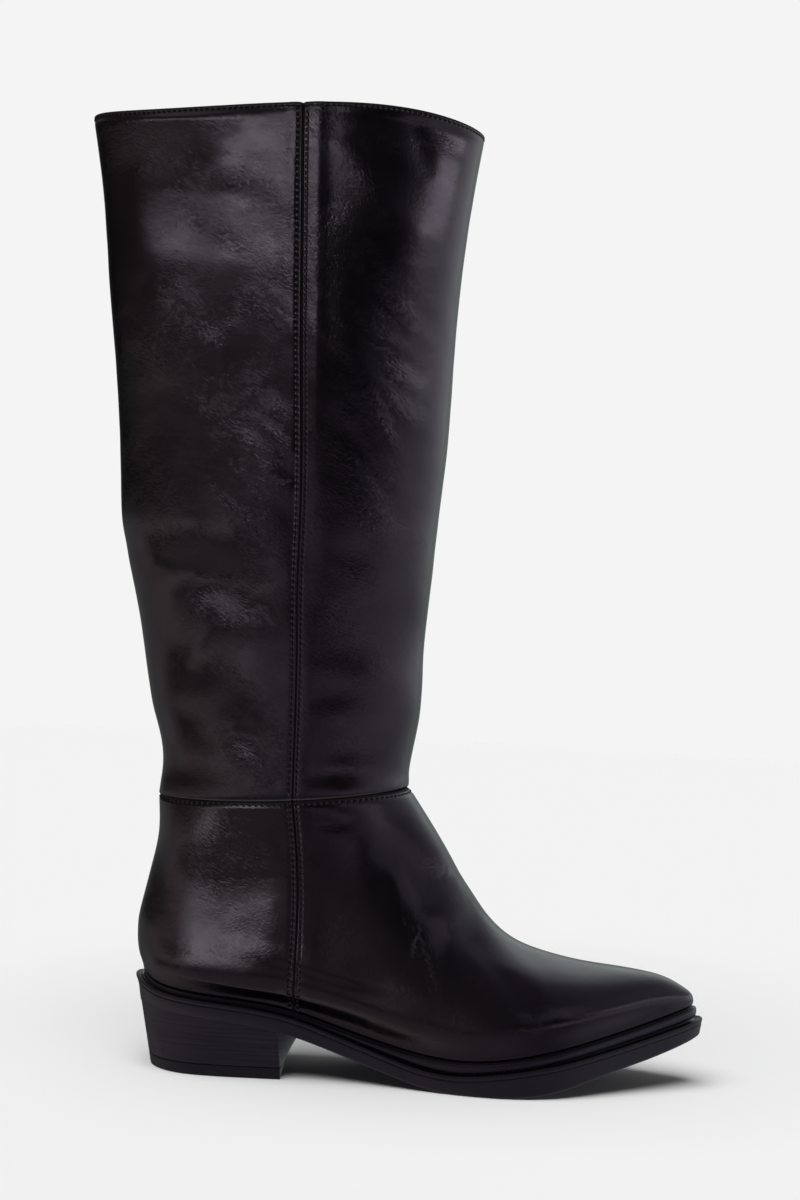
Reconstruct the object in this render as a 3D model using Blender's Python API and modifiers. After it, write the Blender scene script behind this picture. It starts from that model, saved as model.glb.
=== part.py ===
"""Knee-high pull-on boot for a right foot: low block heel, moulded sole with a ledge, hollow leather leg.

The shoe lies along X with its toe at +X, stands on Z = 0, and its outer (lateral) side faces -Y.
The tables are in millimetres, measured forward from the back of the sole and up from the floor.
Every closed ring of points runs anticlockwise, seen from above, from the toe over the inner side.
"""

import math

import bpy
import numpy as np
from mathutils import Vector

MM = 0.001
AROUND = 60  # points in a ring
FOOT_LEVELS = 19
LEG_LEVELS = 16
HEEL_LEVELS = 5
GAP = 0.3  # between two pieces that meet
SHARP_ANGLE = math.radians(38)  # from here up an edge is drawn sharp

SOLE_LENGTH = 280.4
SOLE_TOE_RADIUS = 9.5  # of the outline seen from above
SOLE_BACK_RADIUS = 29.0
RIM_ROUND = 1.2
WALL = 2.0  # leather with its lining
FOOT_UPRIGHT = 1.2  # the foot's first stretch stands upright on the sole
ANKLE_DIP = 2.0  # how far the ankle seam sags on the two sides
WELT_PROUD = 1.6  # past the foot of the upper
WELT_BACKING = 0.6  # from the foot of the upper in to the sole's neck behind the welt
WELT_SHARE = 0.62  # of the height from rim to feather line
WELT_SIDES = 8
INSOLE_THICKNESS = 2.0
INSOLE_CLEARANCE = 2.0
HEEL_BREAST = 72.0  # the block's front corners, at the top
HEEL_RAKE = 2.5  # how far forward those corners move down to the floor
HEEL_FLARE = 10.0  # how far the breast swells forward between its corners, at the top
HEEL_FLARE_FADE = 1.6  # power by which that swelling fades down to the floor
HEEL_FLARE_POWER = 4  # of the swelling's curve from side to side
HEEL_BACK_IN = 6.2  # how far the back leans in, from the sole down to the floor
HEEL_SIDE_TAPER = 0.92
HEEL_BACK_POINTS = 29
HEEL_BREAST_POINTS = 5  # from the middle of the breast to a corner
LIFT_HEIGHT = 5.6
EDGE_ROUND = 0.6
EDGE_ANGLE = math.radians(50)  # from here up a block's edge is rounded
COLLAR_HEIGHT = 462.0
COLLAR_SIDE_RISE = 1.6
COLLAR_SWING = 6.8  # its edge rises ahead of the side seams and dips behind them

# Half the sole's breadth at shares of its length, without its two round ends.
SOLE_BREADTHS = {
    "share": (0.05, 0.125, 0.25, 0.36, 0.50, 0.60, 0.66, 0.73, 0.82, 0.93),
    "half": (26.2, 32.4, 31.6, 30.4, 38.2, 46.4, 48.4, 46.0, 35.4, 18.8),
}

# The line halfway between the sole's two sides: the toe turns in, the waist is hollow on the inside.
CENTRE_LINE = {
    "x": (0, 70, 110, 150, 185, 230, 280),
    "y": (0, 0, -2.2, -0.6, 1.6, 4.6, 7.0),
}

# The sole from the side: its lower edge, its rim, the line where the upper starts, the ledge's width, and
# the draft, which is how far the side leans in from the rim down to the edge.
SOLE_COLUMNS = ("x", "edge", "rim", "feather", "ledge", "draft")
SOLE_SIDE = (
    (0, 31.0, 44.0, 45.7, 3.6, 3.0),
    (8, 30.4, 40.6, 43.5, 3.4, 2.8),
    (20, 29.4, 38.1, 41.5, 3.4, 2.4),
    (50, 26.6, 35.1, 38.3, 3.5, 1.8),
    (80, 20.8, 29.9, 33.6, 3.6, 1.4),
    (100, 14.4, 23.3, 27.4, 3.8, 1.4),
    (122, 7.2, 16.1, 20.8, 4.0, 1.4),
    (142, 1.7, 10.6, 16.4, 4.2, 1.4),
    (156, 0.0, 9.3, 15.1, 4.2, 1.4),
    (178, 0.0, 11.6, 16.6, 4.3, 1.4),
    (206, 3.0, 16.2, 21.6, 4.4, 1.2),
    (230, 9.8, 21.1, 26.9, 4.5, 1.2),
    (254, 16.2, 26.6, 32.9, 4.7, 1.0),
    (281, 25.4, 33.5, 40.4, 4.8, 0.8),
)

# The foot in level rings, from the feather line up: the two ends of each ring, the radii of those ends seen
# from above, and how much of the feather line's dip the ring still has.
FOOT_COLUMNS = ("name", "back_x", "back_z", "front_x", "front_z", "back_radius", "nose_radius", "dip")
FOOT_RINGS = (
    ("wall", 1.2, 56.5, 269.6, 48.2, 24.0, 7.0, 0.85),
    ("toe_top", 0.1, 64.5, 256.0, 54.2, 24.0, 9.0, 0.70),
    ("low_vamp", 0.1, 71.5, 230.0, 57.2, 23.5, 6.5, 0.56),
    ("high_vamp", 1.2, 78.5, 205.5, 60.9, 23.0, 8.0, 0.44),
    ("throat", 2.8, 86.5, 185.5, 67.8, 22.5, 12.0, 0.33),
    ("instep", 5.0, 97.5, 168.6, 82.4, 22.5, 17.0, 0.20),
    ("bend", 7.8, 114.0, 150.2, 110.0, 24.0, 23.0, 0.07),
)

# Half the foot's breadth in each of those rings, at stations along the shoe, as far as the ring reaches.
FOOT_STATIONS = (15, 40, 70, 100, 125, 145, 165, 185, 205, 225, 245)
FOOT_BREADTHS = {
    "wall": (25.0, 31.7, 31.2, 31.3, 35.2, 40.2, 44.7, 46.3, 43.0, 34.8, 22.9),
    "toe_top": (25.1, 32.0, 32.6, 33.5, 36.9, 40.7, 43.4, 43.4, 38.4, 28.6, 15.0),
    "low_vamp": (24.7, 31.8, 33.5, 34.8, 37.5, 40.0, 40.5, 38.0, 29.4),
    "high_vamp": (24.2, 31.7, 34.0, 35.3, 37.3, 38.2, 36.4, 29.4),
    "throat": (23.4, 31.7, 34.6, 35.6, 36.4, 35.2, 29.2),
    "instep": (22.3, 32.2, 35.6, 35.9, 34.6, 29.6),
    "bend": (21.2, 34.2, 38.0, 36.6, 29.2),
}

# The leg, from the ankle seam to the collar. It narrows to the ankle and leans back to the calf.
LEG_COLUMNS = ("back_x", "back_z", "front_x", "front_z", "half_depth", "back_radius", "front_radius")
LEG_RINGS = (
    (7.0, 131.8, 129.3, 141.0, 41.0, 27.0, 27.0),
    (7.9, 151.0, 129.2, 152.5, 41.5, 27.0, 26.0),
    (2.0, 175.0, 132.4, 175.0, 42.0, 27.0, 25.0),
    (-4.9, 210.0, 133.3, 210.0, 43.0, 27.0, 24.0),
    (-11.8, 240.0, 135.6, 240.0, 44.0, 27.0, 23.5),
    (-17.4, 266.0, 137.5, 266.0, 45.0, 27.0, 23.0),
    (-20.3, 300.0, 139.4, 300.0, 45.5, 26.0, 22.0),
    (-25.9, 350.0, 141.2, 350.0, 45.5, 25.0, 21.0),
    (-32.0, 400.0, 144.2, 400.0, 45.0, 23.5, 20.5),
    (-37.6, 440.0, 148.2, 440.0, 44.0, 22.5, 20.0),
    (-41.1, COLLAR_HEIGHT, 151.3, COLLAR_HEIGHT, 43.0, 21.5, 19.5),
)

TURN = np.arange(AROUND) * 2 * math.pi / AROUND


def through(stations, values, at, flat_ends=False):
    """A cubic curve through a table's values, which never swings past them."""
    x = np.asarray(stations, float)
    y = np.asarray(values, float)
    shape = (-1,) + (1,) * (y.ndim - 1)
    step = np.diff(x).reshape(shape)
    slope = np.diff(y, axis=0) / step
    before, after = slope[:-1], slope[1:]
    product = before * after
    total = np.where(product > 0, before + after, 1.0)
    inner = np.where(product > 0, 2 * product / total, 0.0)
    ends = (0 * slope[:1], 0 * slope[-1:]) if flat_ends else (slope[:1], slope[-1:])
    tangent = np.concatenate([ends[0], inner, ends[1]])
    at = np.asarray(at, float)
    i = np.clip(np.searchsorted(x, at, side="right") - 1, 0, len(x) - 2)
    grown = at.shape + (1,) * (y.ndim - 1)
    h = (x[i + 1] - x[i]).reshape(grown)
    t = np.clip((at - x[i]).reshape(grown) / h, 0, 1)
    return (
        (1 + 2 * t) * (1 - t) ** 2 * y[i]
        + t * (1 - t) ** 2 * h * tangent[i]
        + t**2 * (3 - 2 * t) * y[i + 1]
        + t**2 * (t - 1) * h * tangent[i + 1]
    )


def sole(what, x):
    """A column of the sole's table at x."""
    rows = np.array(SOLE_SIDE)
    return through(rows[:, 0], rows[:, SOLE_COLUMNS.index(what)], x)


def centre_line(x):
    return through(CENTRE_LINE["x"], CENTRE_LINE["y"], x)


def oval(turn, back, front, stations, halves, back_radius, front_radius):
    """A ring seen from above: x and half breadth at each turn.

    x follows the cosine of the turn, and the breadth its sine, times a fullness that the stations set.
    At the two ends the fullness is what gives the end its radius.
    """
    reach = (front - back) / 2
    x = (front + back) / 2 + reach * np.cos(turn)
    at = np.arccos((np.asarray(stations, float) - back - reach) / reach)
    full = np.asarray(halves, float) / np.sin(at)
    at = np.concatenate([[0.0], at[::-1], [math.pi]])
    full = np.concatenate(
        [[math.sqrt(front_radius * reach)], full[::-1], [math.sqrt(back_radius * reach)]]
    )
    folded = np.arccos(np.cos(turn))
    return x, through(at, full, folded, flat_ends=True) * np.sin(turn)


def sole_outline(turn):
    """The sole's rim seen from above, as points (x, y)."""
    shares = np.array(SOLE_BREADTHS["share"])
    x, half = oval(
        turn, 0.0, SOLE_LENGTH, shares * SOLE_LENGTH, SOLE_BREADTHS["half"],
        SOLE_BACK_RADIUS, SOLE_TOE_RADIUS,
    )
    return np.stack([x, half + centre_line(x)], axis=1)


def inset(turn, distance):
    """The sole's rim moved in, square to itself, by a distance or by one for each turn."""
    step = 0.01
    along = sole_outline(turn + step) - sole_outline(turn - step)
    along /= np.linalg.norm(along, axis=1, keepdims=True)
    out = np.stack([along[:, 1], -along[:, 0]], axis=1)
    return sole_outline(turn) - out * np.reshape(distance, (-1, 1))


def ring_at(outline, height):
    """The outline lifted to a height, which is a number or one for each point."""
    return np.column_stack([outline, np.broadcast_to(height, len(outline))])


def feather_ring(turn):
    """The line where the upper meets the sole."""
    foot = inset(turn, sole("ledge", sole_outline(turn)[:, 0]))
    return ring_at(foot, sole("feather", foot[:, 0]))


def leg_ring(turn, row):
    size = dict(zip(LEG_COLUMNS, row))
    x, half = oval(
        turn, size["back_x"], size["front_x"], [(size["back_x"] + size["front_x"]) / 2],
        [size["half_depth"]], size["back_radius"], size["front_radius"],
    )
    share = (1 + np.cos(turn)) / 2
    return np.column_stack([x, half, size["back_z"] + (size["front_z"] - size["back_z"]) * share])


def ankle_ring(turn):
    """The seam between foot and leg."""
    ring = leg_ring(turn, LEG_RINGS[0])
    ring[:, 2] -= ANKLE_DIP * np.sin(turn) ** 2
    return ring


def foot_ring(turn, number):
    """A ring of the foot. It keeps a share of the feather line's dip, and bends less and less with height."""
    size = dict(zip(FOOT_COLUMNS, FOOT_RINGS[number]))
    halves = FOOT_BREADTHS[size["name"]]
    x, half = oval(
        turn, size["back_x"], size["front_x"], FOOT_STATIONS[: len(halves)], halves,
        size["back_radius"], size["nose_radius"],
    )
    share = (1 + np.cos(turn)) / 2
    heel, toe = sole("feather", 0.0), sole("feather", SOLE_LENGTH)
    dip = sole("feather", SOLE_LENGTH * share) - (heel + (toe - heel) * share)
    height = size["back_z"] + (size["front_z"] - size["back_z"]) * share + size["dip"] * dip
    bend = centre_line(x) * (1 - (number + 1) / (len(FOOT_RINGS) + 1))
    return np.column_stack([x, half + bend, height])


def foot_rings(turn):
    """The foot's rings, from the feather line to the ankle seam. It starts upright, square to the sole."""
    first = feather_ring(turn)
    rings = [first, first + (0, 0, FOOT_UPRIGHT)]
    rings += [foot_ring(turn, number) for number in range(len(FOOT_RINGS))]
    return np.array(rings + [ankle_ring(turn)])


def collar_rise(turn):
    """How far the collar's edge stands over its height at each turn."""
    side = np.sin(turn) ** 2
    return COLLAR_SIDE_RISE * side + COLLAR_SWING * np.cos(turn) * side


def leg_rings(turn):
    """The leg's rings, from the ankle seam to the collar."""
    rings = [ankle_ring(turn) + (0, 0, GAP)]
    rings += [leg_ring(turn, row) for row in LEG_RINGS[1:]]
    rings[-1][:, 2] += collar_rise(turn)
    return np.array(rings)


def heel_ring(share):
    """The block's outline at a share of the way from the sole down to the floor, as points (x, y).

    Its back and sides are the sole's own edge, drawn in towards the floor. Between its front corners the
    breast swells forward.
    """
    start = math.acos(2 * HEEL_BREAST / SOLE_LENGTH - 1)
    turn = np.linspace(start, 2 * math.pi - start, HEEL_BACK_POINTS)
    seat = inset(turn, sole("draft", sole_outline(turn)[:, 0]))
    reach = seat[0, 0] - seat[:, 0].min()
    corner = seat[0, 0] + HEEL_RAKE * share
    shorter = (reach - (HEEL_BACK_IN - HEEL_RAKE) * share) / reach
    narrower = 1 - (1 - HEEL_SIDE_TAPER) * share
    back = np.column_stack([corner - (seat[0, 0] - seat[:, 0]) * shorter, seat[:, 1] * narrower])
    across = np.linspace(0, 1, HEEL_BREAST_POINTS, endpoint=False)
    swell = HEEL_FLARE * (1 - share) ** HEEL_FLARE_FADE * (1 - across**HEEL_FLARE_POWER)
    breast = np.column_stack([corner + swell, across * back[0, 1]])
    return np.concatenate([breast, back, breast[:0:-1] * (1, -1)])


def between(rings, count):
    """More rings, evenly spread through the given ones."""
    given = np.arange(len(rings))
    return through(given, rings, np.linspace(0, len(rings) - 1, count))


def loft(name, rings, material, capped=True, looped=False):
    """A mesh through a list of rings. Caps run straight across, from each point to its mirror image."""
    rings = np.array(rings)
    count, around = rings.shape[:2]
    index = np.arange(count * around).reshape(count, around)
    lower, upper = index[:-1], index[1:]
    if looped:
        lower, upper = index, np.roll(index, -1, axis=0)
    quads = np.stack(
        [lower, np.roll(lower, -1, axis=1), np.roll(upper, -1, axis=1), upper], axis=-1
    )
    faces = quads.reshape(-1, 4).tolist()
    if capped:
        half = around // 2
        for ring, turned in ((index[0], True), (index[-1], False)):
            cap = [[ring[0], ring[1], ring[-1]], [ring[half - 1], ring[half], ring[half + 1]]]
            cap += [[ring[i], ring[i + 1], ring[-i - 1], ring[-i]] for i in range(1, half - 1)]
            faces += [face[::-1] if turned else face for face in cap]
    mesh = bpy.data.meshes.new(name)
    mesh.from_pydata((rings.reshape(-1, 3) * MM).tolist(), [], faces)
    mesh.shade_smooth()
    mesh.set_sharp_from_angle(angle=SHARP_ANGLE)
    mesh.materials.append(material)
    made = bpy.data.objects.new(name, mesh)
    boot.objects.link(made)
    return made


def finish(name, colour, roughness):
    """A plain Principled material."""
    material = bpy.data.materials.new(name)
    material.use_nodes = True
    shader = material.node_tree.nodes["Principled BSDF"]
    shader.inputs["Base Color"].default_value = (*colour, 1.0)
    shader.inputs["Roughness"].default_value = roughness
    shader.inputs["Metallic"].default_value = 0.0
    return material


def thicken(shell):
    """Gives an open leather surface its wall, on the inside."""
    wall = shell.modifiers.new("wall", "SOLIDIFY")
    wall.thickness = WALL * MM
    wall.offset = -1.0
    wall.use_quality_normals = True


def round_edges(solid):
    """Breaks a block's sharp edges."""
    bevel = solid.modifiers.new("edge", "BEVEL")
    bevel.width = EDGE_ROUND * MM
    bevel.segments = 1
    bevel.angle_limit = EDGE_ANGLE


def make_leather():
    """The foot and the leg, which meet at the ankle seam."""
    leather = finish("black_leather", (0.012, 0.011, 0.013), 0.33)
    thicken(loft("upper", between(foot_rings(TURN), FOOT_LEVELS), leather, capped=False))
    thicken(loft("shaft", between(leg_rings(TURN), LEG_LEVELS), leather, capped=False))


def make_outsole(material):
    """The moulded sole: its edge, side, rounded rim and ledge, and the neck that carries the upper."""
    along = sole_outline(TURN)[:, 0]
    draft = sole("draft", along)
    low, edge = inset(TURN, draft + RIM_ROUND), inset(TURN, draft)
    rim, top = inset(TURN, 0), inset(TURN, RIM_ROUND)
    neck = inset(TURN, sole("ledge", along) + WELT_BACKING)
    rings = [
        ring_at(low, sole("edge", low[:, 0])),
        ring_at(edge, sole("edge", edge[:, 0]) + RIM_ROUND),
        ring_at(rim, sole("rim", rim[:, 0]) - RIM_ROUND),
        ring_at(top, sole("rim", top[:, 0])),
        ring_at(neck, sole("rim", neck[:, 0])),
        ring_at(neck, sole("feather", neck[:, 0]) - GAP),
    ]
    loft("outsole", rings, material)


def make_welt(material):
    """A round rib between the ledge and the foot of the upper, clear of the sole's neck."""
    along = sole_outline(TURN)[:, 0]
    top = feather_ring(TURN)[:, 2] - GAP
    height = WELT_SHARE * (top - sole("rim", along))
    inner = sole("ledge", along) + WELT_BACKING - GAP
    outer = sole("ledge", along) - WELT_PROUD
    rings = []
    for corner in reversed(range(WELT_SIDES)):
        angle = (corner + 0.5) * 2 * math.pi / WELT_SIDES
        reach = 1 / math.cos(math.pi / WELT_SIDES)
        across = (inner + outer) / 2 + (inner - outer) / 2 * reach * math.cos(angle)
        rings.append(ring_at(inset(TURN, across), top + height / 2 * (reach * math.sin(angle) - 1)))
    loft("welt", rings, material, capped=False, looped=True)


def make_insole():
    """It lies on the sole, inside the upper's wall."""
    lining = finish("sock_lining", (0.05, 0.045, 0.045), 0.85)
    bed = inset(TURN, sole("ledge", sole_outline(TURN)[:, 0]) + WALL + INSOLE_CLEARANCE)
    height = sole("feather", bed[:, 0])
    loft("insole", [ring_at(bed, height), ring_at(bed, height + INSOLE_THICKNESS)], lining)


def make_heel(material):
    """A stacked block that follows the sole's edge on top, and the lift under it, which is flat."""
    seat = sole("edge", heel_ring(0.0)[:, 0]) - GAP
    foot = LIFT_HEIGHT + GAP
    foot_share = 1 - foot / sole("edge", 0.0)
    block = []
    for up in np.linspace(0, 1, HEEL_LEVELS):
        block.append(ring_at(heel_ring(foot_share * (1 - up)), foot + (seat - foot) * up))
    stacked = finish("stacked_heel", (0.013, 0.013, 0.014), 0.48)
    round_edges(loft("heel", block, stacked))
    lift = [ring_at(heel_ring(1.0), 0.0), ring_at(heel_ring(foot_share), LIFT_HEIGHT)]
    round_edges(loft("heel_tip", lift, material))


def centre_over_origin():
    """Puts the origin on the floor, under the middle of the boot's box."""
    bpy.context.view_layer.update()
    corners = [made.matrix_world @ Vector(c) for made in boot.objects for c in made.bound_box]
    centre = (np.min(corners, axis=0) + np.max(corners, axis=0)) / 2
    for made in boot.objects:
        made.location = (-centre[0], -centre[1], 0.0)


for old in list(bpy.data.objects):
    bpy.data.objects.remove(old, do_unlink=True)
boot = bpy.data.collections.new("knee_boot")
bpy.context.scene.collection.children.link(boot)

rubber = finish("black_rubber", (0.014, 0.014, 0.015), 0.55)
make_leather()
make_outsole(rubber)
make_welt(rubber)
make_insole()
make_heel(rubber)
centre_over_origin()
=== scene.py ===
"""A right knee-high boot in smooth black leather-look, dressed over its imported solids.

The pieces are worked out in the shoe's own millimetres: x runs forward from the back of the sole, y towards
the inner side of the foot, and z up from the floor. The outer side, with negative y, faces the camera.

Sole, bead and insole follow the rim. Its x is the cosine of a turn and its half breadth is the turn's sine
times a fullness, a cubic spline through the breadths of a table, and it is bent along a middle line. Their
sections are offset square to the rim. Foot and leg are cubic splines up through such ovals. Their skin is
moved along its normals by folds, each a bell curve over the distance from a line, by a sum of sine waves,
and by the section of the seams. The heel is the rim drawn in towards the floor, with a curved breast.
"""

import math

import bpy
import numpy as np
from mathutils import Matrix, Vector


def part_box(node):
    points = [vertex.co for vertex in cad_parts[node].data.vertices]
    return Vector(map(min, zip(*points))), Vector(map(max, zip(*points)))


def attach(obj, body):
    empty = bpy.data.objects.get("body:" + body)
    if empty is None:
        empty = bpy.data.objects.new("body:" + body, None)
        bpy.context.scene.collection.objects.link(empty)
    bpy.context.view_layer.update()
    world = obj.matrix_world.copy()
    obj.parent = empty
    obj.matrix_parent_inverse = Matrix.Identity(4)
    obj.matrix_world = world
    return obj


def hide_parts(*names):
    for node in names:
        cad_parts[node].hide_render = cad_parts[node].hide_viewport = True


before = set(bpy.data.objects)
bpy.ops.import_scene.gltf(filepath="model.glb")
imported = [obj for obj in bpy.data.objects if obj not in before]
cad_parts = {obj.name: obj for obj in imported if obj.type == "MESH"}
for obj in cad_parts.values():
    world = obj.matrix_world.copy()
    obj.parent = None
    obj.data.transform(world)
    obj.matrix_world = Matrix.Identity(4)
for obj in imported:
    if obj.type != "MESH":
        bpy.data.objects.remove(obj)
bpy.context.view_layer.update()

# ----------------------------------------------------------------------------
# Sole: one black rubber moulding. Its side is a smooth band under a thin rolled rim, with a ledge on top
# that carries a low rib, and its underside is sunk inside a plain border and ribbed across for grip.

MM = 0.001
sole_low, sole_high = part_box("outsole")
leg_low, leg_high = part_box("shaft")
SOLE_LENGTH = (sole_high.x - sole_low.x) / MM
SOLE_TOE_RADIUS = 9.5
SOLE_BACK_RADIUS = 29.0
SOLE_BREADTHS = {
    "share": (0.05, 0.125, 0.25, 0.36, 0.50, 0.60, 0.66, 0.73, 0.82, 0.93),
    "half": (26.2, 32.4, 31.6, 30.4, 38.2, 46.4, 48.4, 46.0, 35.4, 18.8),
}
CENTRE_LINE = {
    "x": (0, 70, 110, 150, 185, 230, 280),
    "y": (0, 0, -2.2, -0.6, 1.6, 4.6, 7.0),
}
SOLE_COLUMNS = ("x", "edge", "rim", "feather", "ledge", "draft")
SOLE_SIDE = (
    (0, 31.0, 44.0, 45.7, 3.6, 3.0),
    (8, 30.4, 40.6, 42.9, 3.4, 2.8),
    (20, 29.4, 38.1, 40.4, 3.4, 2.4),
    (50, 26.6, 35.1, 37.2, 3.5, 1.8),
    (80, 20.8, 29.9, 32.6, 3.6, 1.4),
    (100, 14.4, 23.3, 26.6, 3.8, 1.4),
    (122, 7.2, 16.1, 20.5, 4.0, 1.4),
    (142, 1.7, 10.6, 16.4, 4.2, 1.4),
    (156, 0.0, 9.3, 15.1, 4.2, 1.4),
    (178, 0.0, 11.6, 16.6, 4.3, 1.4),
    (206, 3.0, 16.2, 21.6, 4.4, 1.2),
    (230, 9.8, 21.1, 26.9, 4.5, 1.2),
    (254, 16.2, 26.6, 32.9, 4.7, 1.0),
    (281, 25.4, 33.5, 40.4, 4.8, 0.8),
)
# The side in section: what each line hangs from, its share of the draft, how far in it lies and how far up.
SOLE_SECTION = (
    ("edge", 1.0, 2.0, 0.0),
    ("edge", 1.0, 1.1, 0.1),
    ("edge", 1.0, 0.4, 0.5),
    ("edge", 1.0, 0.1, 1.2),
    ("edge", 0.9, 0.1, 2.4),
    ("rim", 0.45, 0.15, -4.6),
    ("rim", 0.28, 0.1, -3.1),
    ("rim", 0.25, 0.15, -2.85),
    ("rim", 0.22, 0.6, -2.6),
    ("rim", 0.2, 0.6, -2.4),
    ("rim", 0.18, 0.1, -2.15),
    ("rim", 0.1, 0.0, -1.8),
    ("rim", 0.0, 0.0, -1.0),
    ("rim", 0.0, 0.12, -0.5),
    ("rim", 0.0, 0.5, -0.08),
    ("rim", 0.0, 0.9, 0.0),
    ("rim", 0.0, 1.25, -0.25),
    ("rim", 0.0, 1.6, -0.55),
    ("rim", 0.0, 1.95, -0.5),
    ("rim", 0.0, 2.2, -0.2),
    ("rim", 0.0, 2.5, -0.15),
    ("rim", 0.0, 2.75, -0.5),
    ("rim", 0.0, 3.4, -0.6),
    ("rim", 0.0, 4.8, -0.6),
)
# Over the ledge the side runs up inside the upper, under the insole.
NECK_INSET = 0.6
NECK_UNDER = 0.1
NECK_REACH = 6.0
SOLE_AROUND = 480
TREAD_ROWS = 620
TREAD_ACROSS = 34
TREAD_BORDER = 6.5
# How far the step between border and ribs runs.
TREAD_SLOPE = 0.8
TREAD_DEPTH = 1.1
TREAD_PITCH = 5.2
# How much of that depth the ribs fill, and how much further in the border's inner edge is at both tips.
RIB_SHARE = 0.9
ENDS_CUT = 2.0
# How nearly a half turn's rows reach the tips, where they would close to a point.
TREAD_TIPS = 0.002
# The rounding of the lower edge: back from here, over the heel, the edge is nearly sharp.
ROUNDING_FROM = 68.0
ROUNDING_FADE = 14.0
ROUNDING_LEAST = 0.12
RUBBER_BLACK = (0.0120, 0.0102, 0.0150, 1.0)
RUBBER_SHEEN = (0.86, 0.76, 1.0, 1.0)


def flowing(stations, values, at, level_ends=False):
    """The cubic spline through a table: its bends solve the usual three-term rows, one per station.

    Its ends are straight, or with level_ends they run level.
    """
    x = np.asarray(stations, float)
    y = np.asarray(values, float)
    step = np.diff(x)
    slope = np.diff(y, axis=0) / step.reshape((-1,) + (1,) * (y.ndim - 1))
    rows = np.diag(np.r_[1.0, 2 * (step[1:] + step[:-1]), 1.0])
    rows += np.diag(np.r_[0.0, step[1:]], 1) + np.diag(np.r_[step[:-1], 0.0], -1)
    right = np.zeros_like(y)
    right[1:-1] = 6 * np.diff(slope, axis=0)
    if level_ends:
        rows[0, :2] = 2 * step[0], step[0]
        rows[-1, -2:] = step[-1], 2 * step[-1]
        right[0], right[-1] = 6 * slope[0], -6 * slope[-1]
    bend = np.linalg.solve(rows, right.reshape(len(x), -1)).reshape(y.shape)
    at = np.clip(at, x[0], x[-1])
    i = np.clip(np.searchsorted(x, at, side="right") - 1, 0, len(x) - 2)
    grown = np.shape(at) + (1,) * (y.ndim - 1)
    before = ((x[i + 1] - at) / step[i]).reshape(grown)
    after = 1 - before
    curl = (before**3 - before) * bend[i] + (after**3 - after) * bend[i + 1]
    return before * y[i] + after * y[i + 1] + curl * (step[i] ** 2 / 6).reshape(grown)


def side_line(what, x):
    """A column of the sole's side table at x."""
    rows = np.array(SOLE_SIDE)
    found = flowing(rows[:, 0], rows[:, SOLE_COLUMNS.index(what)], x)
    return np.maximum(found, 0.0)


def middle(x):
    """Where the line halfway between the sole's two sides lies at x."""
    return flowing(CENTRE_LINE["x"], CENTRE_LINE["y"], x)


def oval(turn, back, front, stations, halves, back_radius, front_radius):
    """A ring seen from above. x follows the turn's cosine; y its sine times a fullness set by the stations.

    At each end the fullness is the root of the end's radius times half the ring's length.
    """
    reach = (front - back) / 2
    x = (front + back) / 2 + reach * np.cos(turn)
    at = np.arccos((np.asarray(stations, float) - back - reach) / reach)
    full = np.asarray(halves, float) / np.sin(at)
    at = np.r_[0.0, at[::-1], math.pi]
    full = np.r_[math.sqrt(front_radius * reach), full[::-1], math.sqrt(back_radius * reach)]
    return x, flowing(at, full, np.arccos(np.cos(turn)), level_ends=True) * np.sin(turn)


def sole_outline(turn):
    """The rim from above: an oval bent along the middle line."""
    x, half = oval(
        turn, 0.0, SOLE_LENGTH, np.array(SOLE_BREADTHS["share"]) * SOLE_LENGTH,
        SOLE_BREADTHS["half"], SOLE_BACK_RADIUS, SOLE_TOE_RADIUS,
    )
    return np.stack([x, half + middle(x)], axis=-1)


def inset(turn, distance):
    """The rim moved in, square to itself, by a distance."""
    step = 0.01
    along = sole_outline(turn + step) - sole_outline(turn - step)
    along /= np.linalg.norm(along, axis=-1, keepdims=True)
    out = np.stack([along[..., 1], -along[..., 0]], axis=-1)
    return sole_outline(turn) - out * np.asarray(distance)[..., None]


def raised(outline, height):
    """A ring of points in plan lifted to a height."""
    return np.concatenate([outline, np.broadcast_to(height, outline.shape[:-1])[..., None]], axis=-1)


def straight_across(rows, tips, inside, share):
    """A grid in plan that runs straight across between mirrored points of an edge inside the rim.

    inside gives how far in the edge lies at x, and share how far across each column lies. Returns the grid
    and each row's breadth.
    """
    half_turn = np.linspace(tips, math.pi - tips, rows)[:, None]
    distance = inside(sole_outline(half_turn)[..., 0])
    inner_edge, outer_edge = inset(half_turn, distance), inset(-half_turn, distance)
    grid = inner_edge * (1 - share[:, None]) + outer_edge * share[:, None]
    return grid, (inner_edge - outer_edge)[..., 1]


def into_scene(points):
    """Points of the shoe, in millimetres, as places in the scene."""
    return np.asarray(points) * MM + (sole_low.x, (leg_low.y + leg_high.y) / 2, 0.0)


def placed(name, data):
    """A new object in the scene."""
    made = bpy.data.objects.new(name, data)
    bpy.context.scene.collection.objects.link(made)
    return made


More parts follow.
